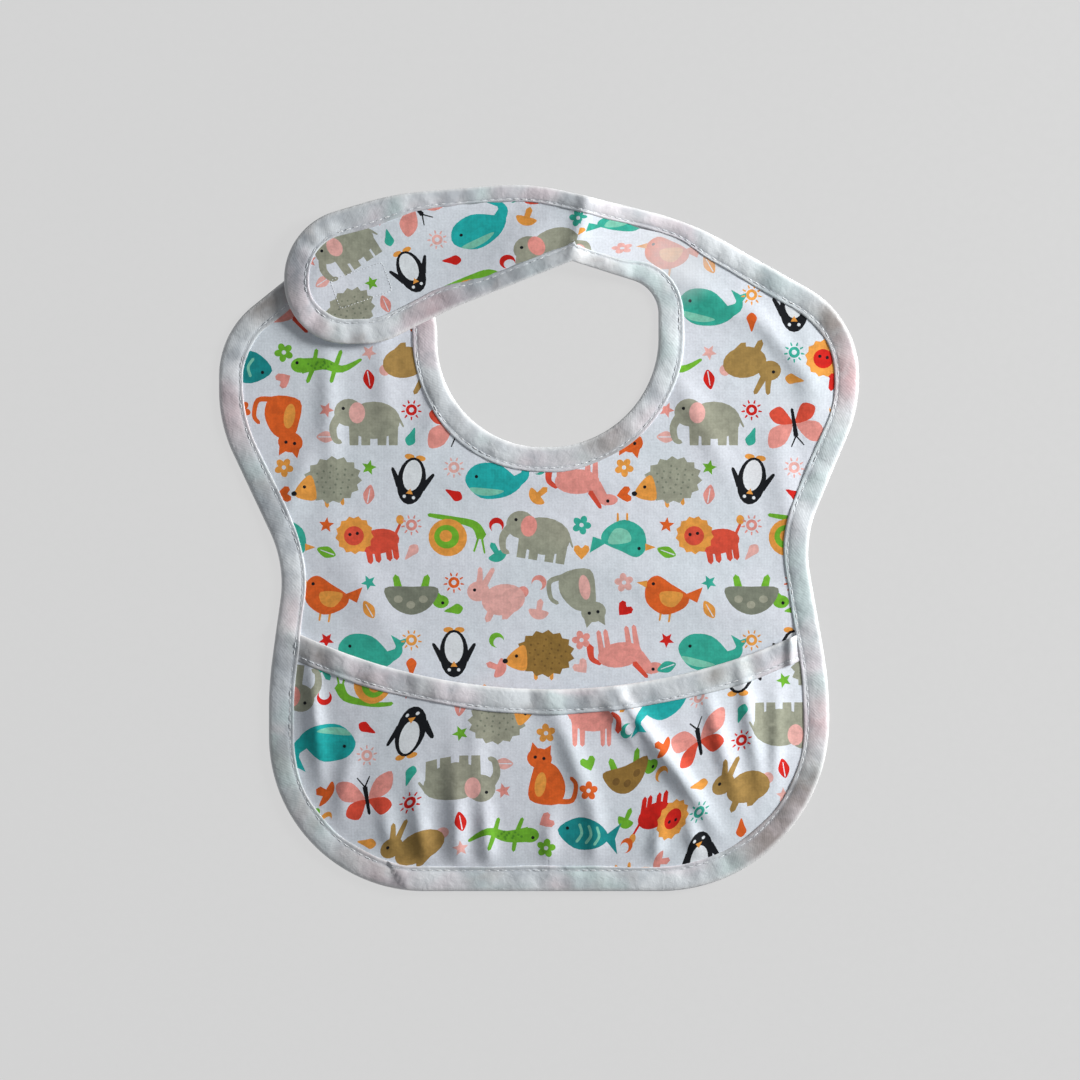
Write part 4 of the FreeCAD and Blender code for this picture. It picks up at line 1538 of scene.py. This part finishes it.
loop_centre, loop_low, _ = node_frame("loop_patch")
loop_outline = turned(rounded_box(*LOOP_SIZE, PATCH_CORNER), loop_centre, 0)
loop_parts = [
    patch_slab(loop_outline, loop_low, loop_low + PATCH_BASE),
    strands(patch_field(*LOOP_SIZE, 0.95, 0.8), loop_centre, 0, LOOP_LINE, 0.11, loop_low + PATCH_BASE, 1),
]
loop_patch = make_piece("loop_patch_visual", *joined(loop_parts), "loop_tape", LOOPS)
loop_rows = [
    patch_stitches(loop_centre, LOOP_SIZE, 0, level_at(loop_low + PATCH_BASE + 0.12), 1),
    patch_stitches(loop_centre, LOOP_SIZE, 0, level_at(loop_low - LAMINATE - 0.08), -1),
]
loop_stitches = make_piece("loop_patch_stitches", *joined(loop_rows), "thread", THREAD)

hook_centre, _, hook_high = node_frame("hook_patch")
hook_outline = turned(rounded_box(*HOOK_SIZE, PATCH_CORNER), hook_centre, HOOK_TURN)
hook_base = hook_high - PATCH_BASE
hook_parts = [
    patch_slab(hook_outline, hook_base, hook_high),
    strands(patch_field(*HOOK_SIZE, 1.05, 0.9), hook_centre, HOOK_TURN, HOOK_LINE, 0.10, hook_base, -1),
]
hook_patch = make_piece("hook_patch_visual", *joined(hook_parts), "hook_tape", HOOKS)
hook_rows = [
    patch_stitches(hook_centre, HOOK_SIZE, HOOK_TURN, over(strap_height, 0.04), 1, 1.3, 0.8, 0.3),
    patch_stitches(hook_centre, HOOK_SIZE, HOOK_TURN, level_at(hook_base - 0.12), -1),
]
hook_stitches = make_piece("hook_patch_stitches", *joined(hook_rows), "thread", THREAD)

# ---------------------------------------------------------------- the bib's pieces and the hook patch ride on their bodies; the parts the pieces stand for are hidden
for piece in (bib_cloth, bib_film, tapes["bib"], stitches["bib"], loop_patch, loop_stitches):
    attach(piece, "bib")
for piece in (hook_patch, hook_stitches):
    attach(piece, "tab")


for piece in (strap_cloth, strap_film, tapes["strap"], stitches["strap"]):
    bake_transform(piece)
for piece in (tab_cloth, tab_film, tapes["tab"], stitches["tab"]):
    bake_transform(piece)
SEWN_SIDES = {"left": -97.0, "right": 105.0}
for half, side_x in SEWN_SIDES.items():
    for piece in (pocket_cloths[half], pocket_films[half], mouth_tapes[half], mouth_stitches[half]):
        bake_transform(piece)

STANDS_FOR = (
    (bib_cloth, "body_panel"),
    (bib_film, "body_backing"),
    (tapes["bib"], "edge_binding"),
    (stitches["bib"], "edge_stitching"),
    (loop_patch, "loop_patch"),
    (loop_stitches, "loop_patch_stitching"),
    (pocket_cloths["left"], "pocket_panel"),
    (pocket_films["left"], "pocket_backing"),
    (mouth_tapes["left"], "pocket_binding"),
    (mouth_stitches["left"], "pocket_stitching"),
    (strap_cloth, "strap_panel"),
    (strap_film, "strap_backing"),
    (tapes["strap"], "strap_binding"),
    (stitches["strap"], "strap_stitching"),
    (tab_cloth, "tab_panel"),
    (tab_film, "tab_backing"),
    (tapes["tab"], "tab_binding"),
    (stitches["tab"], "tab_stitching"),
    (hook_patch, "hook_patch"),
    (hook_stitches, "hook_patch_stitching"),
)
for piece, node in STANDS_FOR:
    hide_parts(node)


# ---------------------------------------------------------------- floor, light and camera
FLOOR_HALF, FLOOR_LEVEL = 2.0, -0.0002
floor_mesh = bpy.data.meshes.new("floor")
signs = ((-1, -1), (1, -1), (1, 1), (-1, 1))
floor_corners = [(x * FLOOR_HALF, y * FLOOR_HALF, FLOOR_LEVEL) for x, y in signs]
floor_mesh.from_pydata(floor_corners, [], [(0, 1, 2, 3)])
floor_mesh.materials.append(floor_material())
floor = bpy.data.objects.new("floor", floor_mesh)
bpy.context.scene.collection.objects.link(floor)


def area_light(name, place, size, power, tint):
    light = bpy.data.lights.new(name, "AREA")
    light.size, light.energy, light.color = size, power, tint
    lamp = bpy.data.objects.new(name, light)
    lamp.location = place
    lamp.rotation_euler = (Vector((0, 0, 0)) - Vector(place)).to_track_quat("-Z", "Y").to_euler()
    bpy.context.scene.collection.objects.link(lamp)


area_light("key", (1.0, 0.38, 0.45), 0.36, 18.5, (1.0, 1.0, 0.98))
area_light("fill", (-0.5, -0.7, 1.5), 1.4, 2.0, (0.93, 0.97, 1.0))

world = bpy.data.worlds.new("studio")
world.use_nodes = True
world.node_tree.nodes["Background"].inputs["Color"].default_value = (0.96, 0.98, 1.0, 1.0)
world.node_tree.nodes["Background"].inputs["Strength"].default_value = 0.17
bpy.context.scene.world = world
bpy.context.scene.view_settings.view_transform = "Standard"

CAMERA_HEIGHT, FRAME_WIDTH, SENSOR = 2.0, 0.432, 36.0
camera_data = bpy.data.cameras.new("camera")
camera_data.sensor_width = SENSOR
camera_data.lens = SENSOR * CAMERA_HEIGHT / FRAME_WIDTH
camera = bpy.data.objects.new("camera", camera_data)
camera.location = (0.0004, -0.0006, CAMERA_HEIGHT)
bpy.context.scene.collection.objects.link(camera)
bpy.context.scene.camera = camera
